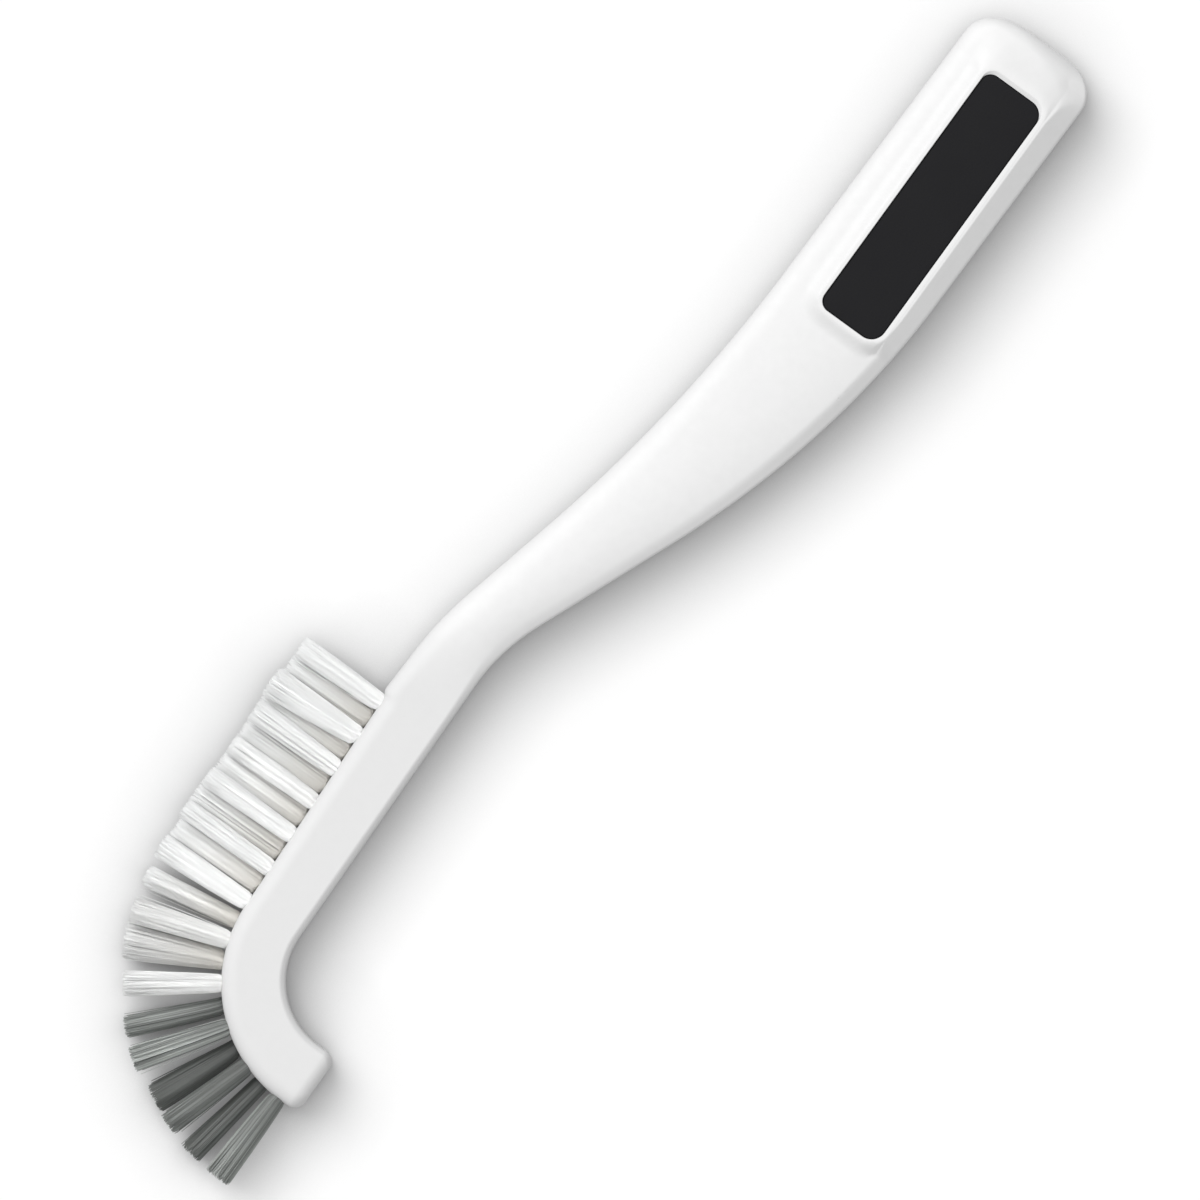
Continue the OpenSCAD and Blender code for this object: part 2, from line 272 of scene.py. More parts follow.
def combined(piece: bpy.types.Object, tool: bpy.types.Mesh, how: str) -> bpy.types.Object:
    """Cuts a tool's shape out of a piece, or adds it.

    Args:
        piece: the piece to change.
        tool: the shape to combine with it; its mesh is used up.
        how: "DIFFERENCE" or "UNION".

    Returns:
        The piece, with the result as its mesh.
    """
    other = new_object("tool", tool)
    cut = piece.modifiers.new("cut", "BOOLEAN")
    cut.operation = how
    cut.solver = "MANIFOLD"
    cut.object = other
    baked(piece)
    bpy.data.objects.remove(other)
    return piece


def shade(piece: bpy.types.Object, crease_degrees: float) -> bpy.types.Object:
    """Shades a piece smoothly, apart from edges sharper than an angle."""
    piece.data.shade_smooth()
    piece.data.set_sharp_from_angle(angle=math.radians(crease_degrees))
    return piece


def hand_over(piece: bpy.types.Object, nodes: list[str], material: bpy.types.Material) -> None:
    """Dresses a finished piece and says which construction nodes it stands for.

    Args:
        piece: the finished piece, at the origin.
        nodes: the nodes that it replaces.
        material: its material.
    """
    piece.data.materials.clear()
    piece.data.materials.append(material)
    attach(piece, BODY)
    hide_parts(*nodes)
    log.info("%s: %d faces, stands for %s", piece.name, len(piece.data.polygons), ", ".join(nodes))


def feed(tree: bpy.types.NodeTree, node: bpy.types.Node, values: dict[int | str, object]) -> None:
    """Fills some inputs of a node.

    Args:
        tree: the node tree.
        node: the node.
        values: what goes into each input, a socket to link or a plain value.
    """
    for name, value in values.items():
        if isinstance(value, Socket):
            tree.links.new(value, node.inputs[name])
        else:
            node.inputs[name].default_value = value


def put(
    tree: bpy.types.NodeTree,
    kind: str,
    values: dict[int | str, object] | None = None,
    **settings: object,
) -> bpy.types.Node:
    """Adds one node to a tree.

    Args:
        tree: the node tree.
        kind: the node's type.
        values: what goes into its inputs, as for feed.
        settings: the node's own settings.

    Returns:
        The new node.
    """
    node = tree.nodes.new(kind)
    for name, value in settings.items():
        setattr(node, name, value)
    feed(tree, node, values or {})
    return node


def math_node(tree: bpy.types.NodeTree, operation: str, *values: Socket | float) -> Socket:
    """Adds a sum, product or the like of up to three values, and returns its result."""
    return put(tree, "ShaderNodeMath", dict(enumerate(values)), operation=operation).outputs[0]


def empty_tree(owner: bpy.types.Material | bpy.types.World) -> bpy.types.NodeTree:
    """Gives a material or a world a node tree without nodes, and returns the tree."""
    owner.use_nodes = True
    owner.node_tree.nodes.clear()
    return owner.node_tree


def blank_material(name: str) -> tuple[bpy.types.Material, bpy.types.NodeTree, bpy.types.Node]:
    """Makes a material that holds only a Principled shader joined to its output.

    Args:
        name: the material's name.

    Returns:
        The material, its node tree and the shader.
    """
    material = bpy.data.materials.new(name)
    tree = empty_tree(material)
    shader = put(tree, "ShaderNodeBsdfPrincipled")
    put(tree, "ShaderNodeOutputMaterial", {"Surface": shader.outputs[0]})
    return material, tree, shader


def noise(tree: bpy.types.NodeTree, place: Socket, size_mm: float, detail: float) -> Socket:
    """Adds noise whose spots are about a size in millimetres across, and returns its value."""
    settings = {"Vector": place, "Scale": 1 / (size_mm * MM), "Detail": detail}
    return put(tree, "ShaderNodeTexNoise", settings).outputs[0]


def ranged(tree: bpy.types.NodeTree, value: Socket, low: float, high: float) -> Socket:
    """Spreads the middle of a noise over a range, and returns the result."""
    noise_low = 0.3
    noise_high = 0.7
    settings = {"Value": value, 1: noise_low, 2: noise_high, 3: low, 4: high}
    return put(tree, "ShaderNodeMapRange", settings).outputs[0]


def blended(tree: bpy.types.NodeTree, share: Socket, first: Socket | str, second: str) -> Socket:
    """Mixes two colours by a share, each a hex code or the first a socket, and returns the result."""
    start = linear(first) if isinstance(first, str) else first
    settings = {0: share, 6: start, 7: linear(second)}
    return put(tree, "ShaderNodeMix", settings, data_type="RGBA").outputs[2]


@dataclass(frozen=True)
class MouldedPolypropylene:
    """White polypropylene, injection moulded, satin on grip and neck and spark-eroded on the head.

    The eye sees an opaque, very slightly waxy white. Grip and neck carry a soft sheen, in
    which slow flow and shrinkage leave faint waves. The head is matt and finely mottled.
    """

    white: str = "#e9e9e9"
    patch: str = "#e7e7e7"
    # The head's white is drawn a little greyer than that of grip and neck.
    eroded_white: str = "#e1e1e1"
    patch_mm: float = 1.8
    grain_mm: float = 0.55
    satin_depth_mm: float = 0.0005
    eroded_depth_mm: float = 0.02
    wave_mm: float = 14.0
    wave_depth_mm: float = 0.015
    satin: tuple[float, float] = (0.36, 0.4)
    eroded: tuple[float, float] = (0.5, 0.62)
    eroded_from_mm: tuple[float, float] = (22.0, 38.0)
    ior: float = 1.49

    def build(self) -> bpy.types.Material:
        """Builds the material. The grain is drawn coarser than the real 0.1 mm so that it shows."""
        material, tree, shader = blank_material("moulded_polypropylene")
        place = put(tree, "ShaderNodeTexCoord").outputs["Object"]
        patches = noise(tree, place, self.patch_mm, 3.0)
        grain = noise(tree, place, self.grain_mm, 3.0)
        waves = noise(tree, place, self.wave_mm, 1.0)
        along = put(tree, "ShaderNodeSeparateXYZ", {0: place}).outputs[0]
        start, end = (x * MM for x in self.eroded_from_mm)
        head = put(tree, "ShaderNodeMapRange", {"Value": along, 1: start, 2: end}).outputs[0]
        white = blended(tree, ranged(tree, patches, 0.0, 1.0), self.white, self.patch)
        satin, eroded = (ranged(tree, patches, *limits) for limits in (self.satin, self.eroded))
        settings = {"Distance": self.wave_depth_mm * MM, "Height": waves}
        waved = put(tree, "ShaderNodeBump", settings).outputs[0]
        settings = {"Value": head, 3: self.satin_depth_mm * MM, 4: self.eroded_depth_mm * MM}
        depth = put(tree, "ShaderNodeMapRange", settings).outputs[0]
        settings = {"Distance": depth, "Height": grain, "Normal": waved}
        looks = {
            "Base Color": blended(tree, head, white, self.eroded_white),
            "Roughness": put(tree, "ShaderNodeMix", {0: head, 2: satin, 3: eroded}).outputs[0],
            "Normal": put(tree, "ShaderNodeBump", settings).outputs[0],
            "IOR": self.ior,
        }
        feed(tree, shader, looks)
        return material


@dataclass(frozen=True)
class MouldedRubber:
    """Near-black thermoplastic rubber, moulded onto the plastic of the grip.

    The eye sees a soft, dull black with hardly any shine, and a fine leathery grain that
    shows only close by.
    """

    black: str = "#161618"
    worn: str = "#1a1a1c"
    grain_mm: float = 0.5
    grain_depth_mm: float = 0.02
    patch_mm: float = 9.0
    roughness: tuple[float, float] = (0.56, 0.68)
    ior: float = 1.4
    shine: float = 0.16

    def build(self) -> bpy.types.Material:
        """Builds the material. The grain is drawn coarser than the real 0.2 mm so that it shows."""
        material, tree, shader = blank_material("moulded_rubber")
        place = put(tree, "ShaderNodeTexCoord").outputs["Object"]
        patches = noise(tree, place, self.patch_mm, 3.0)
        cells = put(tree, "ShaderNodeTexVoronoi", {"Vector": place, "Scale": 1 / (self.grain_mm * MM)})
        settings = {"Distance": self.grain_depth_mm * MM, "Height": cells.outputs["Distance"]}
        looks = {
            "Base Color": blended(tree, ranged(tree, patches, 0.0, 1.0), self.black, self.worn),
            "Roughness": ranged(tree, patches, *self.roughness),
            "Normal": put(tree, "ShaderNodeBump", settings).outputs[0],
            "IOR": self.ior,
            "Specular IOR Level": self.shine,
        }
        feed(tree, shader, looks)
        return material


@dataclass(frozen=True)
class NylonFilament:
    """Extruded nylon bristle filament, cut to length.

    The eye sees thin, slightly translucent threads with a soft gloss along them. No two are
    quite the same tone. Towards the roots a darker, warmer painted shade is mixed into the colour.
    """

    name: str
    light: str
    dark: str
    # deep: colour of the painted shade towards the tufts' roots
    deep: str
    roughness: float = 0.55
    shine: float = 0.6
    ior: float = 1.53
    softness: float = 0.93
    roundness: float = 0.9
    faces_up_from: float = 0.25
    translucence: float = 0.5
    wander_mm: float = 0.5

    def build(self) -> bpy.types.Material:
        """Builds the material.

        Each filament's tone comes from the attribute that its tuft stores. Light that has
        wandered between the filaments evens them out, so they shade mostly as one soft bundle.
        """
        material, tree, shader = blank_material(self.name)
        tone = put(tree, "ShaderNodeAttribute", attribute_name=TONE).outputs["Fac"]
        # The depth attribute carries the painted shade towards the roots.
        depth = put(tree, "ShaderNodeAttribute", attribute_name=PAINTED_SHADE).outputs["Fac"]
        across = put(tree, "ShaderNodeAttribute", attribute_name=BUNDLE_NORMAL).outputs["Vector"]
        own = put(tree, "ShaderNodeNewGeometry").outputs["Normal"]
        own_z = put(tree, "ShaderNodeSeparateXYZ", {0: own}).outputs[2]
        settings = {"Value": own_z, 1: -self.faces_up_from, 2: self.faces_up_from, 3: -1.0, 4: 1.0}
        side = put(tree, "ShaderNodeMapRange", settings).outputs[0]
        rise = put(tree, "ShaderNodeCombineXYZ", {2: side}).outputs[0]
        settings = {0: across, 1: (self.roundness,) * 3, 2: rise}
        bundle = put(tree, "ShaderNodeVectorMath", settings, operation="MULTIPLY_ADD").outputs[0]
        settings = {0: self.softness, 4: own, 5: bundle}
        mixed = put(tree, "ShaderNodeMix", settings, data_type="VECTOR").outputs[1]
        shader.subsurface_method = "BURLEY"
        looks = {
            # Base colour, with the painted root shade mixed in towards the deep colour.
            "Base Color": blended(tree, depth, blended(tree, tone, self.dark, self.light), self.deep),
            "Normal": put(tree, "ShaderNodeVectorMath", {0: mixed}, operation="NORMALIZE").outputs[0],
            "Roughness": self.roughness,
            "IOR": self.ior,
            "Specular IOR Level": self.shine,
            "Subsurface Weight": self.translucence,
            "Subsurface Radius": (1.0, 1.0, 1.0),
            "Subsurface Scale": self.wander_mm * MM,
        }
        feed(tree, shader, looks)
        return material


@dataclass(frozen=True)
class DrawnWire:
    """Flat steel wire, drawn through a die, so that fine lines run along it and catch the light."""

    steel: str = "#b9babd"
    line_mm: float = 0.08
    line_depth_mm: float = 0.004
    stretch: float = 0.05
    roughness: tuple[float, float] = (0.24, 0.38)

    def build(self) -> bpy.types.Material:
        """Builds the material, with the die's lines as stretched noise."""
        material, tree, shader = blank_material("drawn_steel_wire")
        place = put(tree, "ShaderNodeTexCoord").outputs["Object"]
        settings = {"Vector": place, "Scale": (self.stretch, 1.0, 1.0)}
        lines = noise(tree, put(tree, "ShaderNodeMapping", settings).outputs[0], self.line_mm, 2.0)
        settings = {"Distance": self.line_depth_mm * MM, "Height": lines}
        looks = {
            "Base Color": linear(self.steel),
            "Metallic": 1.0,
            "Roughness": ranged(tree, lines, *self.roughness),
            "Normal": put(tree, "ShaderNodeBump", settings).outputs[0],
        }
        feed(tree, shader, looks)
        return material


@dataclass
class Layout:
    """The driving sizes of the brush and the route that its sections follow.

    The names and values are those of the construction, so that the dressed pieces lie
    exactly on it. Positions along the route are called s: s is x up to the nose, and then
    runs on round the nose.
    """

    grip_w: float = 26.8
    grip_t: float = 13.4
    grip_tilt: float = 1.5
    grip_offset: float = 15.5
    grip_end_len: float = 6.6
    grip_end_inset: float = 8.8
    grip_end_edge: float = 2.8
    panel_len: float = 55.7
    panel_w: float = 13.4
    panel_end_land: float = 9.8
    panel_offset: float = 1.6
    panel_tilt: float = 0.7
    rim_w: float = 1.0
    pad_h: float = 1.6
    pad_slope_w: float = 1.9
    neck_len: float = 104.9
    neck_t: float = 12.4
    back_bend_at: float = 17.4
    front_bend_at: float = 28.6
    grip_bend_half: float = 33.0
    back_land: float = 19.2
    back_land_rise: float = 0.4
    back_bend_half: float = 8.0
    front_land: float = 17.3
    front_land_fall: float = 0.7
    front_bend_half: float = 7.0
    block_len: float = 47.1
    block_depth: float = 11.9
    heel_extra: float = 1.3
    heel_step: float = 0.8
    heel_run: float = 1.2
    nose_extra: float = 0.9
    block_t: float = 11.0
    nose_inner_r: float = 14.8
    nose_tail: float = 4.2
    nose_end_r: float = 2.6
    nose_bend_half: float = 3.0
    grip_blend: float = 40.0
    heel_blend: float = 24.0
    heel_x: float = 40.0
    block_back_y: float = 0.7

    def __post_init__(self) -> None:
        """Works out the places that follow from the driving sizes."""
        self.arc_x = self.heel_x + self.block_len
        self.arc_y = self.block_back_y + self.nose_inner_r
        self.turn_len = (self.nose_inner_r + self.block_depth / 2) * math.pi / 2
        self.tail_s = self.arc_x + self.turn_len
        self.end_s = self.tail_s + self.nose_tail
        self.pad_foot_x = self.heel_x - self.neck_len
        self.pad_start_x = self.pad_foot_x - self.pad_slope_w - self.rim_w
        self.grip_end_x = self.pad_start_x - self.panel_len - self.panel_end_land
        self.pad_z = self.grip_t + self.pad_h
        front_y = self.block_back_y - self.block_depth
        heel_y = front_y - self.heel_extra
        step = self.heel_run / 2
        self.back_line = [
            self.grip_point(self.grip_end_x, 1),
            self.grip_point(self.pad_foot_x + self.back_bend_at, 1),
            (self.heel_x - self.back_land, self.block_back_y - self.back_land_rise),
            (self.arc_x, self.block_back_y),
            (self.end_s, self.block_back_y),
        ]
        self.front_line = [
            self.grip_point(self.grip_end_x, -1),
            self.grip_point(self.pad_foot_x + self.front_bend_at, -1),
            (self.heel_x - self.front_land, heel_y - self.heel_step + self.front_land_fall),
            (self.heel_x - step, heel_y - self.heel_step),
            (self.heel_x + step, heel_y),
            (self.arc_x, front_y),
            (self.end_s, front_y - self.nose_extra),
        ]

    def grip_mid_y(self, x: float) -> float:
        """Middle line of the grip at x."""
        fall = math.tan(math.radians(self.grip_tilt))
        return self.block_back_y + self.grip_offset - (x - self.pad_foot_x) * fall

    def grip_point(self, x: float, side: int) -> tuple[float, float]:
        """A point on the grip's edge, on the front (-1) or back (1) side."""
        return x, self.grip_mid_y(x) + side * self.grip_w / 2

    def along(self, s: float, grip: float, neck: float, block: float) -> float:
        """Value of a size at s, from its values in the grip, the neck and the block."""
        to_neck = ease((s - self.pad_foot_x) / self.grip_blend)
        to_block = ease((s - self.heel_x + self.heel_blend) / self.heel_blend)
        return float(grip + (neck - grip) * to_neck + (block - neck) * to_block)

    @staticmethod
    def soft_line(x: float, points: list[tuple[float, float]], halves: list[float]) -> float:
        """Height at x of a line through points whose inner corners are softened.

        Args:
            x: where to measure.
            points: the line's points.
            halves: half length of the soft bend at each inner point.

        Returns:
            The height.
        """
        slopes = [(q[1] - p[1]) / (q[0] - p[0]) for p, q in zip(points, points[1:])]
        y = points[0][1] + slopes[0] * (x - points[0][0])
        for point, before, after, half in zip(points[1:], slopes, slopes[1:], halves):
            d = x - point[0]
            change = after - before
            if d >= half:
                y += change * d
            elif d > -half:
                y += change * (d + half) ** 2 / (4 * half)
        return y

    def back_y(self, s: float) -> float:
        """The back edge at s."""
        halves = [self.grip_bend_half, self.back_bend_half, self.nose_bend_half]
        return self.soft_line(s, self.back_line, halves)

    def front_y(self, s: float) -> float:
        """The front edge at s, which is the tuft face along the block."""
        step = self.heel_run / 2
        halves = [self.grip_bend_half, self.front_bend_half, step, step, self.nose_bend_half]
        return self.soft_line(s, self.front_line, halves)

    def place(self, s: float, outline: Points) -> Points:
        """Puts a section's points, given as y and z, where they lie at s.

        Args:
            s: the section's place on the route.
            outline: its points.

        Returns:
            The x, y and z of each point.
        """
        y, z = outline[:, 0], outline[:, 1]
        if s <= self.arc_x:
            return np.column_stack([np.full(len(y), s), y, z])
        angle = min(1.0, (s - self.arc_x) / self.turn_len) * math.pi / 2
        r = self.arc_y - y
        tail = max(0.0, s - self.tail_s)
        x_turned = self.arc_x + r * math.sin(angle)
        return np.column_stack([x_turned, self.arc_y - r * math.cos(angle) + tail, z])

    def panel_middle(self) -> Vector:
        """Middle of the soft panel, at floor level."""
        x = self.grip_end_x + self.panel_end_land + self.panel_len / 2
        return Vector((x, self.grip_mid_y(x) + self.panel_offset, 0.0))

    def panel_place(self) -> Matrix:
        """Turns and moves the panel's own frame to its place, in metres."""
        turn = Matrix.Rotation(-math.radians(self.panel_tilt), 4, "Z")
        return Matrix.Translation(self.panel_middle() * MM) @ turn

    def in_panel(self, x: Points, y: Points) -> tuple[Points, Points]:
        """Places given in the brush's frame, as the panel's own frame sees them."""
        middle = self.panel_middle()
        a = math.radians(self.panel_tilt)
        dx, dy = x - middle.x, y - middle.y
        return dx * math.cos(a) - dy * math.sin(a), dx * math.sin(a) + dy * math.cos(a)

    def panel_line(self, x: float, across: float) -> float:
        """The y, at x, of a line along the panel at a distance from its middle line."""
        middle = self.panel_middle()
        a = math.radians(self.panel_tilt)
        return middle.y + across / math.cos(a) - (x - middle.x) * math.tan(a)


@dataclass
class Panel:
    """The dark soft panel of the grip: a front sheet, a back sheet and the pegs between them."""

    layout: Layout
    near_corner: float = 2.2
    far_corner: float = 3.0
    thickness: float = 2.0
    back_thickness: float = 1.2
    sink: float = 0.4
    edge: float = 0.35
    crown: float = 0.12
    clearance: float = 0.05
    end_slope: float = 0.8
    end_slope_h: float = 0.45
    lip: float = 0.15
    peg_d: float = 5.0
    peg_count: int = 3
    peg_pitch: float = 18.0
    peg_clearance: float = 0.05
    peg_bite: float = 0.4
    crease_degrees: float = 50.0

    def outline(self, margin: float, end: float = 0.0) -> Points:
        """The panel's outline, grown by a margin and drawn in by a length at the grip's end."""
        flat = rounded_outline(
            self.layout.panel_len - end + 2 * margin,
            self.layout.panel_w + 2 * margin,
            self.near_corner + margin,
            self.far_corner + margin,
        )
        return flat + np.array([end / 2, 0.0])

    def floors(self) -> tuple[float, float]:
        """Heights of the recess floors under the front sheet and over the back sheet."""
        return self.layout.pad_z - self.sink - self.thickness, self.sink + self.back_thickness

    def sheet(self, name: str, floor: float, face: float) -> bpy.types.Mesh:
        """One sheet, with a rounded rim and a slightly crowned face.

        Args:
            name: the mesh's name.
            floor: height of its hidden side.
            face: height of its outer face, above or below the floor.

        Returns:
            The mesh, in the panel's own frame.
        """
        rim_steps = 5
        face_rings = 7
        out = 1 if face > floor else -1
        end = self.end_slope if out > 0 else 0.0
        rings = [at_height(self.outline(0.0, end), floor)]
        for k in range(rim_steps + 1):
            angle = math.pi / 2 * k / rim_steps
            inset = self.edge * (1 - math.cos(angle))
            z = face - out * self.edge * (1 - math.sin(angle))
            rings.append(at_height(self.outline(-inset, end), z))
        widest = self.layout.panel_w / 2 - self.edge
        base = self.outline(-self.edge, end)
        middle = np.array([end / 2, 0.0])
        for k in range(1, face_rings):
            t = k / face_rings
            shrink = np.array([1 - t * widest / (self.layout.panel_len / 2), 1 - t])
            ring = middle + (base - middle) * shrink
            rings.append(at_height(ring, face + out * self.crown * (1 - (1 - t) ** 2)))
        return shell(name, rings)

    def pegs(self, radius: float, low: float, high: float) -> bpy.types.Mesh:
        """The pegs, or the holes for them, between two heights."""
        rods = []
        for i in range(self.peg_count):
            x = (i - (self.peg_count - 1) / 2) * self.peg_pitch
            rods.append(rod("peg", Vector((x, 0.0, low)), Vector((x, 0.0, high)), radius))
        return joined("pegs", rods)

    def recess(self) -> bpy.types.Mesh:
        """The space for both sheets, which flares at the front face into a rounded lip."""
        over = 1.0
        lip_steps = 5
        front, back = self.floors()
        top = self.layout.pad_z
        slope_from = top - self.end_slope_h
        rings = [(self.clearance, self.end_slope, front), (self.clearance, self.end_slope, slope_from)]
        for k in range(1, lip_steps + 1):
            angle = math.pi / 2 * k / lip_steps
            margin = self.clearance + self.lip * (1 - math.cos(angle))
            z = top - self.lip * (1 - math.sin(angle))
            rings.append((margin, self.end_slope * (top - z) / self.end_slope_h, z))
        rings.append((self.clearance + self.lip, 0.0, top + over))
        front_rings = [at_height(self.outline(margin, end), z) for margin, end, z in rings]
        back_outline = self.outline(self.clearance)
        back_rings = [at_height(back_outline, -over), at_height(back_outline, back)]
        return joined("recess", [shell("front", front_rings), shell("back", back_rings)])

    def build(self, material: bpy.types.Material) -> bpy.types.Object:
        """Builds and dresses the whole panel.

        Args:
            material: the rubber.

        Returns:
            The finished piece.
        """
        front, back = self.floors()
        front_sheet = self.sheet("front_sheet", front, self.layout.pad_z - self.sink)
        piece = new_object("soft_grip_panel", front_sheet)
        combined(piece, self.sheet("back_sheet", back, self.sink), "UNION")
        combined(piece, self.pegs(self.peg_d / 2, back - self.peg_bite, front + self.peg_bite), "UNION")
        piece.data.transform(self.layout.panel_place())
        shade(piece, self.crease_degrees)
        hand_over(piece, ["grip_inlay"], material)
        return piece


@dataclass
class Handle:
    """The one-piece white moulding: grip with its raised pad, neck and brush block with its nose."""

    layout: Layout
    panel: Panel
    grip_front_edge: float = 3.6
    grip_back_edge: float = 3.2
    crown: float = 1.0
    grip_edge_drop: float = 0.5
    neck_edge_drop: float = 0.1
    grip_front_edge_h: float = 2.2
    neck_front_edge_h: float = 2.6
    neck_front_edge: float = 4.4
    neck_lower_edge: float = 3.6
    neck_flank_w: float = 2.4
    heel_flank_w: float = 1.4
    flank_slope: float = 0.78
    neck_flank_slope: float = 0.64
    block_flank_slope: float = 1.0
    flank_narrows: tuple[float, float] = (10.0, 80.0)
    flank_joins: tuple[float, float] = (-11.0, 12.0)
    block_front_edge: float = 3.0
    block_front_edge_h: float = 2.5
    block_back_edge: float = 1.0
    flank_foot: float = 0.8
    flank_foot_share: float = 0.6
    flank_soft: float = 0.35
    crest_soft: float = 0.06
    crest_out: float = 0.3
    end_soft: float = 3.0
    end_ease: float = 0.6
    end_fade: float = 1.5
    pad_round: float = 0.35
    pad_foot: float = 0.9
    pad_far_fade: float = 2.0
    pad_far_crisp: float = 0.6
    pad_end_slope_w: float = 5.5
    edge_room: float = 0.45
    wall_room: float = 0.5
    strip_points: tuple[int, ...] = (7, 12, 8, 12, 8, 12, 10)
    strips_even_out: tuple[float, float] = (4.0, 20.0)
    strips_follow_pad: tuple[float, float] = (7.0, 6.0)
    least_strip: float = 0.02
    floor_points: int = 8
    wall_points: int = 6
    corner_points: int = 9
    cap_rings: int = 5
    crease_degrees: float = 32.0

    def pad_height(self, x: float, y: Points) -> Points:
        """Height of the raised pad over the grip at places across it.

        Args:
            x: place along the grip.
            y: places across it.

        Returns:
            The heights.
        """
        lay = self.layout
        edge = lay.panel_w / 2 + lay.rim_w
        u, v = lay.in_panel(np.full(len(y), x), y)
        v = np.minimum(v, edge)
        far = v > 0
        radius = np.where(far, self.panel.far_corner, self.panel.near_corner) + lay.rim_w
        qx = np.abs(u) - (lay.panel_len / 2 + lay.rim_w - radius)
        qy = np.abs(v) - (lay.panel_w / 2 + lay.rim_w - radius)
        outside = np.hypot(np.maximum(qx, 0), np.maximum(qy, 0))
        distance = outside + np.minimum(np.maximum(qx, qy), 0) - radius
        endwards = np.where(u < 0, np.maximum(qx, 0) / np.maximum(outside, TINY), 0.0)
        slope_w = lay.pad_slope_w + (self.pad_end_slope_w - lay.pad_slope_w) * ease(endwards)
        slope = lay.pad_h * (1 - distance / slope_w)
        far_share = ease((v - edge + self.pad_far_fade) / self.pad_far_fade)
        foot = self.pad_foot * (1 - far_share)
        crest = self.pad_round * (1 - self.pad_far_crisp * far_share)
        return soft_min(lay.pad_h, soft_max(0.0, slope, foot), crest)

    def past_pad(self, s: float, stretch: tuple[float, float]) -> float:
        """Runs from 0 to 1 over a stretch, given by its start past the pad's foot and its length."""
        start, length = stretch
        return float(ease((s - self.layout.pad_foot_x - start) / length))

    def flank_width(self, s: float) -> float:
        """Width of the slope along the upper back edge, which at the pad runs on from the pad's own."""
        lay = self.layout
        beside_pad = lay.back_y(s) - lay.panel_line(s, lay.panel_w / 2 + lay.rim_w) - lay.pad_slope_w
        narrower = self.heel_flank_w - self.neck_flank_w
        neck = self.neck_flank_w + narrower * self.past_pad(s, self.flank_narrows)
        at_grip = beside_pad + (neck - beside_pad) * self.past_pad(s, self.flank_joins)
        return lay.along(s, at_grip, neck, self.block_back_edge)

    def strips(self, s: float, top_start: float, flank_top: float, foot_y: float) -> Points:
        """Places across the upper face, which beside the pad keep to its edges.

        Args:
            s: the section's place on the route.
            top_start: where the face begins.
            flank_top: where the flank begins.
            foot_y: where the flank ends.

        Returns:
            The places, in a fixed number.
        """
        lay = self.layout
        pad_edge = lay.panel_w / 2 + lay.rim_w
        offsets = (-pad_edge - lay.pad_slope_w, -pad_edge, -lay.panel_w / 2, lay.panel_w / 2, pad_edge)
        wanted = [lay.panel_line(s, offset) for offset in offsets]
        even = np.linspace(top_start, flank_top, len(wanted) + 2)[1:-1]
        start, length = self.strips_follow_pad
        off_end = float(ease((lay.grip_end_x + start - s) / length))
        share = max(self.past_pad(s, self.strips_even_out), off_end)
        keys = [top_start]
        for near, spread in zip(wanted, even):
            keys.append(max(keys[-1] + self.least_strip, near + (spread - near) * share))
        keys += [flank_top, foot_y]
        spans = zip(keys, keys[1:], self.strip_points)
        pieces = [np.linspace(a, b, n, endpoint=False) for a, b, n in spans]
        return np.concatenate(pieces + [np.array([foot_y])])

    def section(self, s: float) -> Points:
        """Outline of the handle's section at s, as y and z, in a fixed number of points."""
        lay = self.layout
        grip_in = self.end_inset(s - lay.grip_end_x, lay.grip_end_edge, lay.grip_end_edge)
        nose_in = self.end_inset(lay.end_s - s, lay.nose_end_r, lay.nose_end_r)
        side_in = self.end_inset(s - lay.grip_end_x, lay.grip_end_len, lay.grip_end_inset) + nose_in
        low = grip_in + nose_in
        front = lay.front_y(s) + side_in
        back = lay.back_y(s) - side_in
        grip_top = lay.grip_t - self.grip_edge_drop
        top = lay.along(s, grip_top, lay.neck_t - self.neck_edge_drop, lay.block_t) - low
        crown = lay.along(s, self.crown, self.crown, 0.0)
        end_round = float(ease((lay.grip_end_x + lay.panel_end_land - s) / lay.panel_end_land))
        slope = lay.along(s, self.flank_slope, self.neck_flank_slope, self.block_flank_slope)
        slope = slope * (1 - self.end_ease * end_round)
        upper = lay.along(s, self.grip_front_edge, self.neck_front_edge, self.block_front_edge)
        upper_h = lay.along(s, self.grip_front_edge_h, self.neck_front_edge_h, self.block_front_edge_h)
        lower = lay.along(s, self.grip_front_edge, self.neck_lower_edge, self.block_front_edge)
        lower_back = lay.along(s, self.grip_back_edge, self.neck_lower_edge, self.block_back_edge)
        room = (back - front) * self.edge_room
        upper, lower, lower_back = min(upper, room), min(lower, room), min(lower_back, room)
        flank_w = min(self.flank_width(s), room)
        flank_top = back - flank_w
        width = flank_top - front

        def crown_z(y: Points | float) -> Points | float:
            """Height of the crowned face at y."""
            u = (y - front) / width
            return top + 4 * crown * u * (1 - u)

        def crown_slope(y: float) -> float:
            """Slope of the crowned face at y."""
            return 4 * crown * (1 - 2 * (y - front) / width) / width

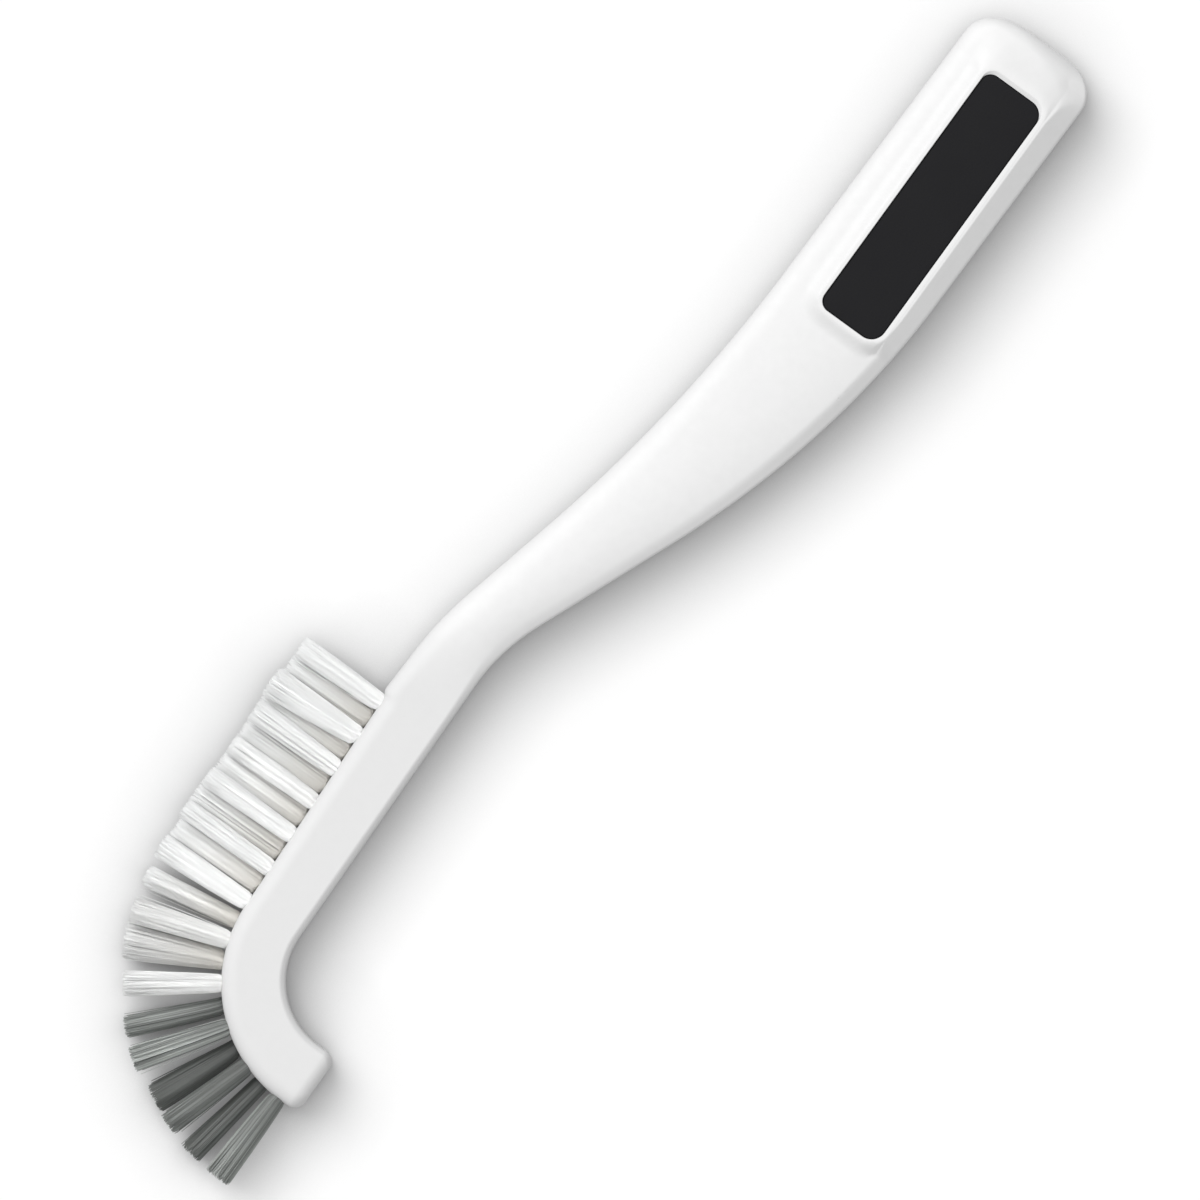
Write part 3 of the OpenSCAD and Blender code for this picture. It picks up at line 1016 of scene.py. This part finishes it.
        top_start = front + upper
        foot_y = back - self.flank_foot * min(1.0, flank_w / self.flank_foot) * self.flank_foot_share
        y = self.strips(s, top_start, flank_top, foot_y)
        still_level = 1 - float(ease(low / self.end_fade))
        pad_share = self.pad_height(s, y) / lay.pad_h * still_level
        face = crown_z(y) * (1 - pad_share) + lay.pad_z * pad_share
        crest_line = np.array([lay.panel_line(s, lay.panel_w / 2 + lay.rim_w - self.crest_out)])
        at_pad = float(self.pad_height(s, crest_line)[0] / lay.pad_h) * still_level
        crest = lay.pad_z - slope * (lay.pad_slope_w - self.crest_out)
        flank = top + (crest - top) * at_pad - slope * (y - flank_top)
        soft = self.flank_soft + (self.crest_soft - self.flank_soft) * at_pad
        soft = soft + (self.end_soft - soft) * end_round
        z = soft_min(face, flank, soft)
        corner_z = z[0] - crown_slope(top_start) * upper
        wall_top = corner_z - min(upper_h, (corner_z - low) * self.wall_room)
        foot_corner_z = z[-1] - slope * (back - foot_y)
        foot_end_z = foot_corner_z - self.flank_foot
        parts = [
            self.line((back - lower_back, low), (front + lower, low), self.floor_points),
            self.corner((front + lower, low), (front, low), (front, low + lower)),
            self.line((front, low + lower), (front, wall_top), self.wall_points)[1:],
            self.corner((front, wall_top), (front, corner_z), (top_start, z[0]))[:-1],
            np.column_stack([y, z]),
            self.corner((foot_y, z[-1]), (back, foot_corner_z), (back, foot_end_z))[1:],
            self.line((back, foot_end_z), (back, low + lower_back), self.wall_points)[1:],
            self.corner((back, low + lower_back), (back, low), (back - lower_back, low))[:-1],
        ]
        return np.concatenate(parts)

    def corner(self, *places: tuple[float, float]) -> Points:
        """Points along a rounded corner, given by its start, its sharp corner and its end."""
        start, sharp, end = (np.array(place) for place in places)
        return bezier_corner(start, sharp, end, self.corner_points)

    @staticmethod
    def line(start: tuple[float, float], end: tuple[float, float], count: int) -> Points:
        """Points along a straight side, without its last one."""
        return np.linspace(start, end, count, endpoint=False)

    @staticmethod
    def end_inset(t: float, length: float, inset: float) -> float:
        """How far an outline draws in at distance t from an end that rounds off over a length."""
        if t >= length:
            return 0.0
        return inset * (1 - math.sqrt(max(0.0, 1 - ((length - t) / length) ** 2)))

    def stations(self) -> list[float]:
        """Places of the sections, close together where the shape changes most."""
        lay = self.layout
        grip_steps = 26
        nose_steps = 22
        turn = np.linspace(0.0, math.pi / 2, grip_steps, endpoint=False)
        stops = list(lay.grip_end_x + lay.grip_end_len * (1 - np.cos(turn)))
        nose_start = lay.end_s - lay.nose_end_r
        past_pad = 6
        round_heel = 2
        ends_and_pitches = (
            (lay.pad_foot_x + past_pad, 0.42),
            (lay.heel_x - round_heel, 1.1),
            (lay.heel_x + round_heel, 0.2),
            (lay.arc_x, 1.5),
            (nose_start, 0.8),
        )
        start = lay.grip_end_x + lay.grip_end_len
        for end, pitch in ends_and_pitches:
            stops += list(np.linspace(start, end, math.ceil((end - start) / pitch), endpoint=False))
            start = end
        turn = np.linspace(math.pi / 2, 0.0, nose_steps)
        stops += list(lay.end_s - lay.nose_end_r * (1 - np.cos(turn)))
        return stops

    def build(self, holes: bpy.types.Mesh, material: bpy.types.Material) -> bpy.types.Object:
        """Builds the moulding, cuts its recess and holes, and dresses it.

        Args:
            holes: the tuft holes.
            material: the plastic.

        Returns:
            The finished piece.
        """
        rings = [self.layout.place(s, self.section(s)) for s in self.stations()]
        piece = new_object("moulded_handle", shell("moulded_handle", rings, self.cap_rings))
        front, back = self.panel.floors()
        over = 0.5
        recess = self.panel.recess()
        recess.transform(self.layout.panel_place())
        pegs = self.panel.pegs(self.panel.peg_d / 2 + self.panel.peg_clearance, back - over, front + over)
        pegs.transform(self.layout.panel_place())
        combined(piece, recess, "DIFFERENCE")
        combined(piece, pegs, "DIFFERENCE")
        combined(piece, holes, "DIFFERENCE")
        shade(piece, self.crease_degrees)
        hand_over(piece, ["handle"], material)
        return piece


@dataclass
class TuftTree:
    """Geometry Nodes tree that fans thin filaments out of one tuft hole.

    The bristles point to -Y from the origin, in the tuft's own frame, in metres.
    """

    sides: int = 5
    points: int = 7
    jitter_share: float = 0.12
    hollowness: float = 0.34
    streaks: float = 7.0
    streak_share: float = 0.6
    streak_from: float = 0.35
    streak_to: float = 0.65
    fan_power: float = 0.75
    crowding: float = 2.0
    flare_share: float = 0.04
    shade_power: float = 1.5
    dome_power: float = 3.0
    stray_share: float = 0.05
    stray_gain: float = 5.0
    taper_power: float = 12.0
    taper_share: float = 0.35

    COUNTS = ("Count", "Seed")
    PLACING = ("Root Radius", "Root Depth", "Length", "Half Width", "Half Thickness", "Lean", "Lift", "Turn")
    SHAPING = ("Flare", "Dome", "Tip Scatter", "Trim Error", "Bow", "Filament Radius")
    SHADING = ("Roundness", "Tip Tilt", "Tone", "Streaks", "Root Shade")

    def blank_tree(self) -> bpy.types.NodeTree:
        """Makes a tree that has its inputs and its output, but no nodes."""
        tree = bpy.data.node_groups.new("bristle_tuft", "GeometryNodeTree")
        tree.interface.new_socket("Geometry", in_out="OUTPUT", socket_type="NodeSocketGeometry")
        kinds = dict.fromkeys(self.COUNTS, "NodeSocketInt")
        kinds |= dict.fromkeys(self.PLACING + self.SHAPING + self.SHADING, "NodeSocketFloat")
        kinds["Material"] = "NodeSocketMaterial"
        for name, kind in kinds.items():
            tree.interface.new_socket(name, in_out="INPUT", socket_type=kind)
        return tree

    def build(self) -> bpy.types.NodeTree:
        """Builds the tree: filament roots on an even spiral, each carried to its own place at the tips."""
        tree = self.blank_tree()
        add = partial(put, tree)
        calc = partial(math_node, tree)
        given = add("NodeGroupInput").outputs

        def chance(low: float, high: float, offset: int) -> Socket:
            """A random number for each filament, from the tuft's seed and an offset."""
            seed = calc("ADD", given["Seed"], offset)
            return add("FunctionNodeRandomValue", {2: low, 3: high, 8: seed}, data_type="FLOAT").outputs[1]

        def turned(vector: Socket) -> Socket:
            """A vector of the tuft's own frame, turned as the tuft is round the nose."""
            settings = {"Vector": vector, "Angle": given["Turn"]}
            return add("ShaderNodeVectorRotate", settings, rotation_type="Z_AXIS").outputs[0]

        def stored(shape: Socket, name: str, value: Socket, kind: str = "FLOAT") -> Socket:
            """The shape with a value kept on its points under a name, for the material."""
            settings = {0: shape, "Name": name, "Value": value}
            return add("GeometryNodeStoreNamedAttribute", settings, data_type=kind).outputs[0]

        index = add("GeometryNodeInputIndex").outputs[0]
        share = calc("DIVIDE", calc("ADD", index, 0.5), given["Count"])
        reach = calc("POWER", share, self.hollowness)
        jitter = chance(-self.jitter_share, self.jitter_share, 1)
        turn = calc("ADD", calc("MULTIPLY", index, GOLDEN_TURN), jitter)
        across = calc("MULTIPLY", reach, calc("COSINE", turn))
        deep = calc("MULTIPLY", reach, calc("SINE", turn))
        root_x, root_z = (calc("MULTIPLY", way, given["Root Radius"]) for way in (across, deep))
        root = add("ShaderNodeCombineXYZ", {0: root_x, 2: root_z}).outputs[0]

        is_stray = calc("LESS_THAN", chance(0.0, 1.0, 8), self.stray_share)
        gain = calc("MULTIPLY_ADD", is_stray, self.stray_gain, 1.0)
        scatter_x = calc("MULTIPLY", chance(-1.0, 1.0, 2), calc("MULTIPLY", given["Tip Scatter"], gain))
        scatter_z = calc("MULTIPLY", chance(-1.0, 1.0, 3), given["Tip Scatter"])
        tip_x = calc("ADD", calc("MULTIPLY_ADD", across, given["Half Width"], given["Lean"]), scatter_x)
        tip_z = calc("ADD", calc("MULTIPLY_ADD", deep, given["Half Thickness"], given["Lift"]), scatter_z)
        domed = calc("MULTIPLY", calc("POWER", share, self.dome_power), given["Dome"])
        trim = calc("MULTIPLY_ADD", chance(-1.0, 1.0, 4), given["Trim Error"], domed)
        tip_y = calc("SUBTRACT", trim, given["Length"])
        tip = add("ShaderNodeCombineXYZ", {0: tip_x, 1: tip_y, 2: tip_z}).outputs[0]
        bow_x, bow_z = (calc("MULTIPLY", chance(-1.0, 1.0, offset), given["Bow"]) for offset in (5, 6))
        bow = add("ShaderNodeCombineXYZ", {0: bow_x, 2: bow_z}).outputs[0]

        streak_place = calc("MULTIPLY_ADD", across, self.streaks / 2, given["Seed"])
        settings = {"W": streak_place, "Scale": 1.0, "Detail": 1.0}
        streaks = add("ShaderNodeTexNoise", settings, noise_dimensions="1D").outputs[0]
        settings = {"Value": streaks, 1: self.streak_from, 2: self.streak_to}
        streak_tone = calc("MULTIPLY", add("ShaderNodeMapRange", settings).outputs[0], self.streak_share)
        own_tone = calc("MULTIPLY", chance(0.0, 1.0, 7), 1 - self.streak_share)
        mixed_tone = calc("ADD", streak_tone, own_tone)
        evened = calc("MULTIPLY_ADD", calc("SUBTRACT", mixed_tone, 1.0), given["Streaks"], 1.0)
        tone = calc("MULTIPLY", evened, given["Tone"])
        sideways = calc("MULTIPLY", across, given["Roundness"])
        bundle = turned(add("ShaderNodeCombineXYZ", {0: sideways}).outputs[0])

        roots = add("GeometryNodePoints", {"Count": given["Count"]}).outputs[0]
        kept = add("GeometryNodeCaptureAttribute")
        tree.links.new(roots, kept.inputs[0])
        wanted = {"root": root, "tip": tip, "bow": bow, "bundle": bundle, "tone": tone}
        for place, (name, source) in enumerate(wanted.items(), start=1):
            kept.capture_items.new("FLOAT" if source is tone else "VECTOR", name)
            tree.links.new(source, kept.inputs[place])
        root, tip, bow, bundle, tone = (kept.outputs[name] for name in wanted)
        straight = add("GeometryNodeCurvePrimitiveLine", {"Start": (0.0, 0.0, 0.0), "End": (0.0, 1.0, 0.0)})
        line = add("GeometryNodeResampleCurve", {0: straight.outputs[0], "Count": self.points}).outputs[0]
        settings = {"Points": kept.outputs[0], "Instance": line}
        strands = add("GeometryNodeInstanceOnPoints", settings).outputs[0]
        strands = add("GeometryNodeRealizeInstances", {0: strands}).outputs[0]

        t = add("GeometryNodeSplineParameter").outputs[0]
        step = add("ShaderNodeVectorMath", {0: tip, 1: root}, operation="SUBTRACT").outputs[0]
        mouth = 1 / (self.points - 1)
        past = add("ShaderNodeMapRange", {"Value": t, 1: mouth}).outputs[0]
        opened = calc("POWER", past, self.crowding)
        sunk = add("ShaderNodeMapRange", {"Value": t, 2: mouth, 3: 1.0, 4: 0.0}).outputs[0]
        hole_y = calc("MULTIPLY", sunk, given["Root Depth"])
        hidden = add("ShaderNodeCombineXYZ", {1: hole_y}).outputs[0]
        flared = add("ShaderNodeMapRange", {"Value": opened, 2: self.flare_share}).outputs[0]
        slow = calc("MULTIPLY", calc("POWER", opened, self.fan_power), calc("SUBTRACT", 1.0, given["Flare"]))
        fanned = calc("MULTIPLY_ADD", flared, given["Flare"], slow)
        spread = add("ShaderNodeCombineXYZ", {0: fanned, 1: opened, 2: fanned}).outputs[0]
        moved = add("ShaderNodeVectorMath", {0: step, 1: spread}, operation="MULTIPLY").outputs[0]
        arch = calc("MULTIPLY", calc("MULTIPLY", opened, calc("SUBTRACT", 1.0, opened)), 4.0)
        bent = add("ShaderNodeVectorMath", {0: bow, "Scale": arch}, operation="SCALE").outputs[0]
        place = root
        for part in (moved, bent, hidden):
            place = add("ShaderNodeVectorMath", {0: place, 1: part}, operation="ADD").outputs[0]
        strands = add("GeometryNodeSetPosition", {0: strands, "Position": place}).outputs[0]

        # Painted shade: full at the root, gone at the tips, scaled by Root Shade and stored for the
        # material.
        shade = add("ShaderNodeMapRange", {"Value": past, 3: 1.0, 4: 0.0}).outputs[0]
        depth = calc("MULTIPLY", calc("POWER", shade, self.shade_power), given["Root Shade"])
        strands = stored(strands, PAINTED_SHADE, depth)
        tilt = calc("MULTIPLY", calc("MULTIPLY", opened, given["Tip Tilt"]), -1.0)
        tipward = turned(add("ShaderNodeCombineXYZ", {1: tilt}).outputs[0])
        facing = add("ShaderNodeVectorMath", {0: bundle, 1: tipward}, operation="ADD").outputs[0]
        strands = stored(strands, BUNDLE_NORMAL, facing, "FLOAT_VECTOR")
        thinned = calc("MULTIPLY", calc("POWER", t, self.taper_power), self.taper_share)
        taper = calc("SUBTRACT", 1.0, thinned)
        settings = {"Resolution": self.sides, "Radius": given["Filament Radius"]}
        ring = add("GeometryNodeCurvePrimitiveCircle", settings).outputs[0]
        skin = add("GeometryNodeCurveToMesh", {0: strands, 1: ring, 2: taper, 3: True}).outputs[0]
        smooth = add("GeometryNodeSetShadeSmooth", {0: stored(skin, TONE, tone)}).outputs[0]
        real = add("GeometryNodeRealizeInstances", {0: smooth}).outputs[0]
        dressed = add("GeometryNodeSetMaterial", {0: real, "Material": given["Material"]}).outputs[0]
        add("NodeGroupOutput", {0: dressed})
        return tree


@dataclass(frozen=True)
class Fan:
    """How one tuft stands, as judged: half width at its tips, lean, extra length and tone."""

    spread: float
    lean: float = 0.0
    longer: float = 0.0
    tone: float = 1.0


@dataclass
class Bristles:
    """The tufts: two staggered rows along the block and round its nose.

    Roundness and tip tilt only steer the shading. They say how far a tuft's sides turn away
    from the eye, and how far its tips face where they point, because light enters there.
    """

    layout: Layout
    white_count: int = 17
    grey_count: int = 6
    tuft_d: float = 3.3
    hole_d: float = 3.4
    hole_depth: float = 6.0
    row_gap: float = 4.4
    first_tuft_at: float = 1.9
    last_tuft_at: float = 4.7
    route_depth: float = 2.1
    nose_length: float = 18.5
    trim_depth: float = 31.7
    # The tones are partly the tufts' own and partly painted shade: several tufts of the lower row, in the
    # upper row's shadow, are given a darker tone.
    fans: tuple[Fan, ...] = (
        Fan(2.2, 0.1, -0.3),
        Fan(3.8, 0.0, -0.3),
        Fan(3.1, 1.0, 0.5),
        Fan(3.8, 0.0, 0.1),
        Fan(2.4, -0.2, 0.0),
        Fan(3.8, 0.1, -0.2),
        Fan(1.95, 0.0, -0.3, 0.85),
        Fan(3.8, 0.0, -0.3),
        Fan(2.1, 0.0, 0.0),
        Fan(3.8, 0.0, 0.1),
        Fan(1.95, -0.1, 0.0),
        Fan(3.6, 0.0, -0.6),
        Fan(2.4, 0.5, 0.9, 0.95),
        Fan(2.0, -0.2, 0.4, 0.9),
        Fan(2.4, -0.3, 0.3, 0.45),
        Fan(3.6, -1.5, 0.3, 0.65),
        Fan(2.4, -0.2, -0.3, 0.7),
        Fan(2.0, 1.1, 0.1, 0.78),
        Fan(2.5, 0.3, 0.2, 1.1),
        Fan(2.9, 1.7, -0.6, 0.22),
        Fan(2.2, 0.2, -0.3, 0.42),
        Fan(2.2, 0.0, 0.0, 0.32),
        Fan(2.6, -0.3, 0.0, 0.85),
    )
    tip_thick: float = 1.9
    lower_tip_thick: float = 2.2
    lower_roundness: float = 0.25
    lower_lift: float = 1.2
    # Share of painted shade towards the roots: for the upper row, the lower row and the grey tufts.
    upper_root_shade: float = 0.1
    lower_root_shade: float = 1.0
    grey_root_shade: float = 0.5
    white_streaks: float = 0.3
    tip_tilt: float = 0.4
    upper_flare: float = 0.2
    lower_flare: float = 0.8
    nose_flare: float = 0.12
    dome: float = 0.3
    root_depth: float = 3.6
    filaments: int = 360
    filament_d: float = 0.16
    tip_scatter: float = 0.14
    trim_error: float = 0.7
    bow: float = 0.08
    seed: int = 4100
    seeds_apart: int = 10

    def __post_init__(self) -> None:
        """Works out the pitch of the tufts along their route."""
        lay = self.layout
        self.count = self.white_count + self.grey_count
        route_r = lay.nose_inner_r + lay.block_depth - self.route_depth
        self.turn_len = route_r * math.pi / 2
        route = lay.block_len + self.turn_len + lay.nose_tail
        self.pitch = (route - self.first_tuft_at - self.last_tuft_at) / (self.count - 1)

    def at(self, i: int) -> float:
        """Distance of a tuft past the start of the nose, along the tufts' own route."""
        return self.first_tuft_at + i * self.pitch - self.layout.block_len

    def row(self, i: int) -> Row:
        """The row that a tuft stands in."""
        return Row.UPPER if i % 2 == 0 else Row.LOWER

    def angle(self, i: int) -> float:
        """Turn of a tuft round the nose."""
        return max(0.0, min(1.0, self.at(i) / self.turn_len)) * math.pi / 2

    def root(self, i: int) -> Vector:
        """Middle of a tuft's hole, on the tuft face."""
        lay = self.layout
        share = self.angle(i) / (math.pi / 2)
        s = lay.arc_x + min(0.0, self.at(i)) + share * lay.turn_len + max(0.0, self.at(i) - self.turn_len)
        z = lay.block_t / 2 + self.row(i).value * self.row_gap
        return Vector(lay.place(s, np.array([[lay.front_y(s), z]]))[0])

    def place(self, i: int) -> Matrix:
        """Turns and moves a tuft's own frame to its place, in metres."""
        return Matrix.Translation(self.root(i) * MM) @ Matrix.Rotation(self.angle(i), 4, "Z")

    def node_name(self, i: int) -> str:
        """The construction node that a tuft stands for."""
        if i < self.white_count:
            return f"white_tuft_{i + 1:02d}"
        return f"grey_tuft_{i - self.white_count + 1:02d}"

    def holes(self) -> bpy.types.Mesh:
        """All the tuft holes as one cutting shape."""
        over = 1.5
        rods = []
        for i in range(self.count):
            start, end = Vector((0.0, -over, 0.0)), Vector((0.0, self.hole_depth, 0.0))
            cutter = rod("hole", start, end, self.hole_d / 2)
            cutter.transform(self.place(i))
            rods.append(cutter)
        return joined("holes", rods)

    def sizes(self, i: int) -> dict[str, float | int]:
        """What the tuft's tree needs to know about one tuft, with lengths in metres."""
        fan = self.fans[i]
        grey = i >= self.white_count
        upper = self.row(i) is Row.UPPER
        straight = self.at(i) < 0
        under = straight and not upper
        length = self.nose_length
        flare = self.nose_flare
        if straight:
            length = self.root(i).y - self.layout.block_back_y + self.trim_depth
            flare = self.upper_flare if upper else self.lower_flare
        painted_row_shade = self.upper_root_shade if upper else self.lower_root_shade
        lengths = {
            "Root Radius": (self.tuft_d - self.filament_d) / 2,
            "Root Depth": self.root_depth,
            "Length": length + fan.longer,
            "Half Width": fan.spread,
            "Half Thickness": self.lower_tip_thick if under else self.tip_thick,
            "Lean": fan.lean,
            "Lift": 0.0 if upper else self.lower_lift,
            "Dome": self.dome,
            "Tip Scatter": self.tip_scatter,
            "Trim Error": self.trim_error,
            "Bow": self.bow,
            "Filament Radius": self.filament_d / 2,
        }
        numbers = {
            "Count": self.filaments,
            "Seed": self.seed + self.seeds_apart * i,
            "Flare": flare,
            "Turn": self.angle(i),
            "Roundness": self.lower_roundness if under else 1.0,
            "Tip Tilt": self.tip_tilt * math.cos(self.angle(i)),
            "Tone": fan.tone,
            "Streaks": 1.0 if grey else self.white_streaks,
            "Root Shade": self.grey_root_shade if grey else painted_row_shade,
        }
        return {name: value * MM for name, value in lengths.items()} | numbers

    def build(self, white: bpy.types.Material, grey: bpy.types.Material) -> list[bpy.types.Object]:
        """Builds and dresses every tuft.

        Args:
            white: the nylon of the white tufts.
            grey: the nylon of the grey tufts.

        Returns:
            The finished tufts, from the heel to the nose.
        """
        tree = TuftTree().build()
        sockets = {item.name: item.identifier for item in tree.interface.items_tree}
        tufts = []
        for i in range(self.count):
            is_white = i < self.white_count
            material = white if is_white else grey
            node = self.node_name(i)
            piece = new_object(node.replace("tuft", "bristles"), bpy.data.meshes.new(node))
            fan = piece.modifiers.new("fan", "NODES")
            fan.node_group = tree
            for name, value in self.sizes(i).items():
                fan[sockets[name]] = value
            fan[sockets["Material"]] = material
            baked(piece)
            piece.data.transform(self.place(i))
            hand_over(piece, [node], material)
            tufts.append(piece)
        return tufts


@dataclass(frozen=True)
class Lamp:
    """One far, soft light. Softness is the angle it fills, bearing the side it comes from, in degrees."""

    name: str
    strength: float
    softness: float
    elevation: float
    bearing: float

    def add(self) -> None:
        """Adds the lamp to the scene."""
        data = bpy.data.lights.new(self.name, "SUN")
        data.energy = self.strength
        data.angle = math.radians(self.softness)
        rise, turn = math.radians(self.elevation), math.radians(self.bearing)
        level = math.cos(rise)
        towards = Vector((level * math.cos(turn), level * math.sin(turn), math.sin(rise)))
        lamp = new_object(self.name, data)
        lamp.rotation_mode = "QUATERNION"
        lamp.rotation_quaternion = towards.to_track_quat("Z", "Y")


@dataclass
class Studio:
    """A plain white table, soft light and the photograph's straight-down camera."""

    mm_per_pixel: float = 0.19
    pixels: int = 1200
    centre: tuple[float, float] = (1.9, 10.26)
    right: tuple[float, float] = (-0.57786, 0.81614)
    distance_mm: float = 6000.0
    focus_height_mm: float = 9.0
    sees_as_far_as_mm: float = 100000.0
    sensor_mm: float = 36.0
    table_half_mm: float = 6000.0
    table: str = "#b4b4b4"
    table_seen: float = 1.0
    contact_reach_mm: float = 18.0
    contact_shade: float = 0.45
    contact_samples: int = 8
    sky_strength: float = 0.43
    lamps: tuple[Lamp, ...] = (
        Lamp("key", strength=1.4, softness=46.0, elevation=51.0, bearing=-105.0),
        Lamp("overhead", strength=0.69, softness=40.0, elevation=90.0, bearing=0.0),
        Lamp("low_front", strength=0.4, softness=60.0, elevation=14.0, bearing=-100.0),
    )

    def add_camera(self) -> None:
        """Adds the camera, which looks straight down with the photograph's turn and frame."""
        data = bpy.data.cameras.new("camera")
        data.sensor_width = self.sensor_mm
        width = self.pixels * self.mm_per_pixel
        data.lens = self.sensor_mm * self.distance_mm / width
        data.clip_end = self.sees_as_far_as_mm * MM
        camera = new_object("camera", data)
        right = Vector((*self.right, 0.0)).normalized()
        up = Vector((0.0, 0.0, 1.0)).cross(right)
        turn = Matrix((right, up, Vector((0.0, 0.0, 1.0)))).transposed().to_4x4()
        middle = Vector((*self.centre, self.distance_mm + self.focus_height_mm)) * MM
        camera.matrix_world = Matrix.Translation(middle) @ turn
        bpy.context.scene.camera = camera

    def add_table(self) -> None:
        """Adds the table top, which the camera sees as white apart from the brush's shadow.

        Near the brush it is drawn darker than the lamps leave it, for the soft light that the
        brush keeps off all round.
        """
        half = self.table_half_mm * MM
        mesh = bpy.data.meshes.new("table_top")
        corners = [(x * half, y * half, 0) for x, y in ((-1, -1), (1, -1), (1, 1), (-1, 1))]
        mesh.from_pydata(corners, [], [(0, 1, 2, 3)])
        table = new_object("table_top", mesh)
        material = bpy.data.materials.new("matt_table")
        tree = empty_tree(material)
        reach = {"Distance": self.contact_reach_mm * MM}
        near_brush = put(tree, "ShaderNodeAmbientOcclusion", reach, samples=self.contact_samples)
        settings = {"Value": near_brush.outputs["AO"], 3: self.contact_shade, 4: self.table_seen}
        shaded = put(tree, "ShaderNodeMapRange", settings).outputs[0]
        plain = put(tree, "ShaderNodeBsdfDiffuse", {"Color": linear(self.table)}).outputs[0]
        bright = put(tree, "ShaderNodeBsdfDiffuse", {"Color": shaded}).outputs[0]
        mixed = put(tree, "ShaderNodeMixShader", {0: self.seen_by_eye(tree), 1: plain, 2: bright})
        put(tree, "ShaderNodeOutputMaterial", {"Surface": mixed.outputs[0]})
        mesh.materials.append(material)

    @staticmethod
    def seen_by_eye(tree: bpy.types.NodeTree) -> Socket:
        """1 for what the camera sees, directly or in a reflection or through glass, and 0 otherwise."""
        path = put(tree, "ShaderNodeLightPath").outputs
        direct = math_node(tree, "MAXIMUM", path["Is Camera Ray"], path["Is Glossy Ray"])
        return math_node(tree, "MAXIMUM", direct, path["Is Transmission Ray"])

    def add_light(self) -> None:
        """Adds the lamps and an even white sky."""
        for lamp in self.lamps:
            lamp.add()
        world = bpy.data.worlds.new("white_sky")
        bpy.context.scene.world = world
        tree = empty_tree(world)
        settings = {"Value": self.seen_by_eye(tree), 3: self.sky_strength, 4: 1.0}
        strength = put(tree, "ShaderNodeMapRange", settings).outputs[0]
        sky = put(tree, "ShaderNodeBackground", {"Color": linear("#ffffff"), "Strength": strength})
        put(tree, "ShaderNodeOutputWorld", {"Surface": sky.outputs[0]})

    def build(self) -> None:
        """Builds the whole setting."""
        self.add_camera()
        self.add_table()
        self.add_light()
        bpy.context.scene.view_settings.view_transform = "Standard"
        log.info("studio: camera, table, %d lamps and sky", len(self.lamps))


def main() -> None:
    """Builds the brush piece by piece, and then its setting."""
    logging.basicConfig(level=logging.INFO, format="%(name)s: %(message)s")
    layout = Layout()
    panel = Panel(layout)
    bristles = Bristles(layout)
    plastic = MouldedPolypropylene().build()
    rubber = MouldedRubber().build()
    # deep is the colour of the painted shade towards the roots.
    white = NylonFilament("white_nylon_filament", light="#f7f8f8", dark="#dededc", deep="#dbd8d1").build()
    grey = NylonFilament(
        "grey_nylon_filament",
        light="#ccd1cd",
        dark="#4d504d",
        deep="#2c2e2c",
        softness=0.85,
        translucence=0.3,
    ).build()
    Handle(layout, panel).build(bristles.holes(), plastic)
    panel.build(rubber)
    bristles.build(white, grey)
    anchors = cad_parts["tuft_anchors"]
    anchors.data.materials.clear()
    anchors.data.materials.append(DrawnWire().build())
    log.info("tuft_anchors: kept from the construction, in drawn wire")
    Studio().build()


if __name__ == "__main__":
    main()
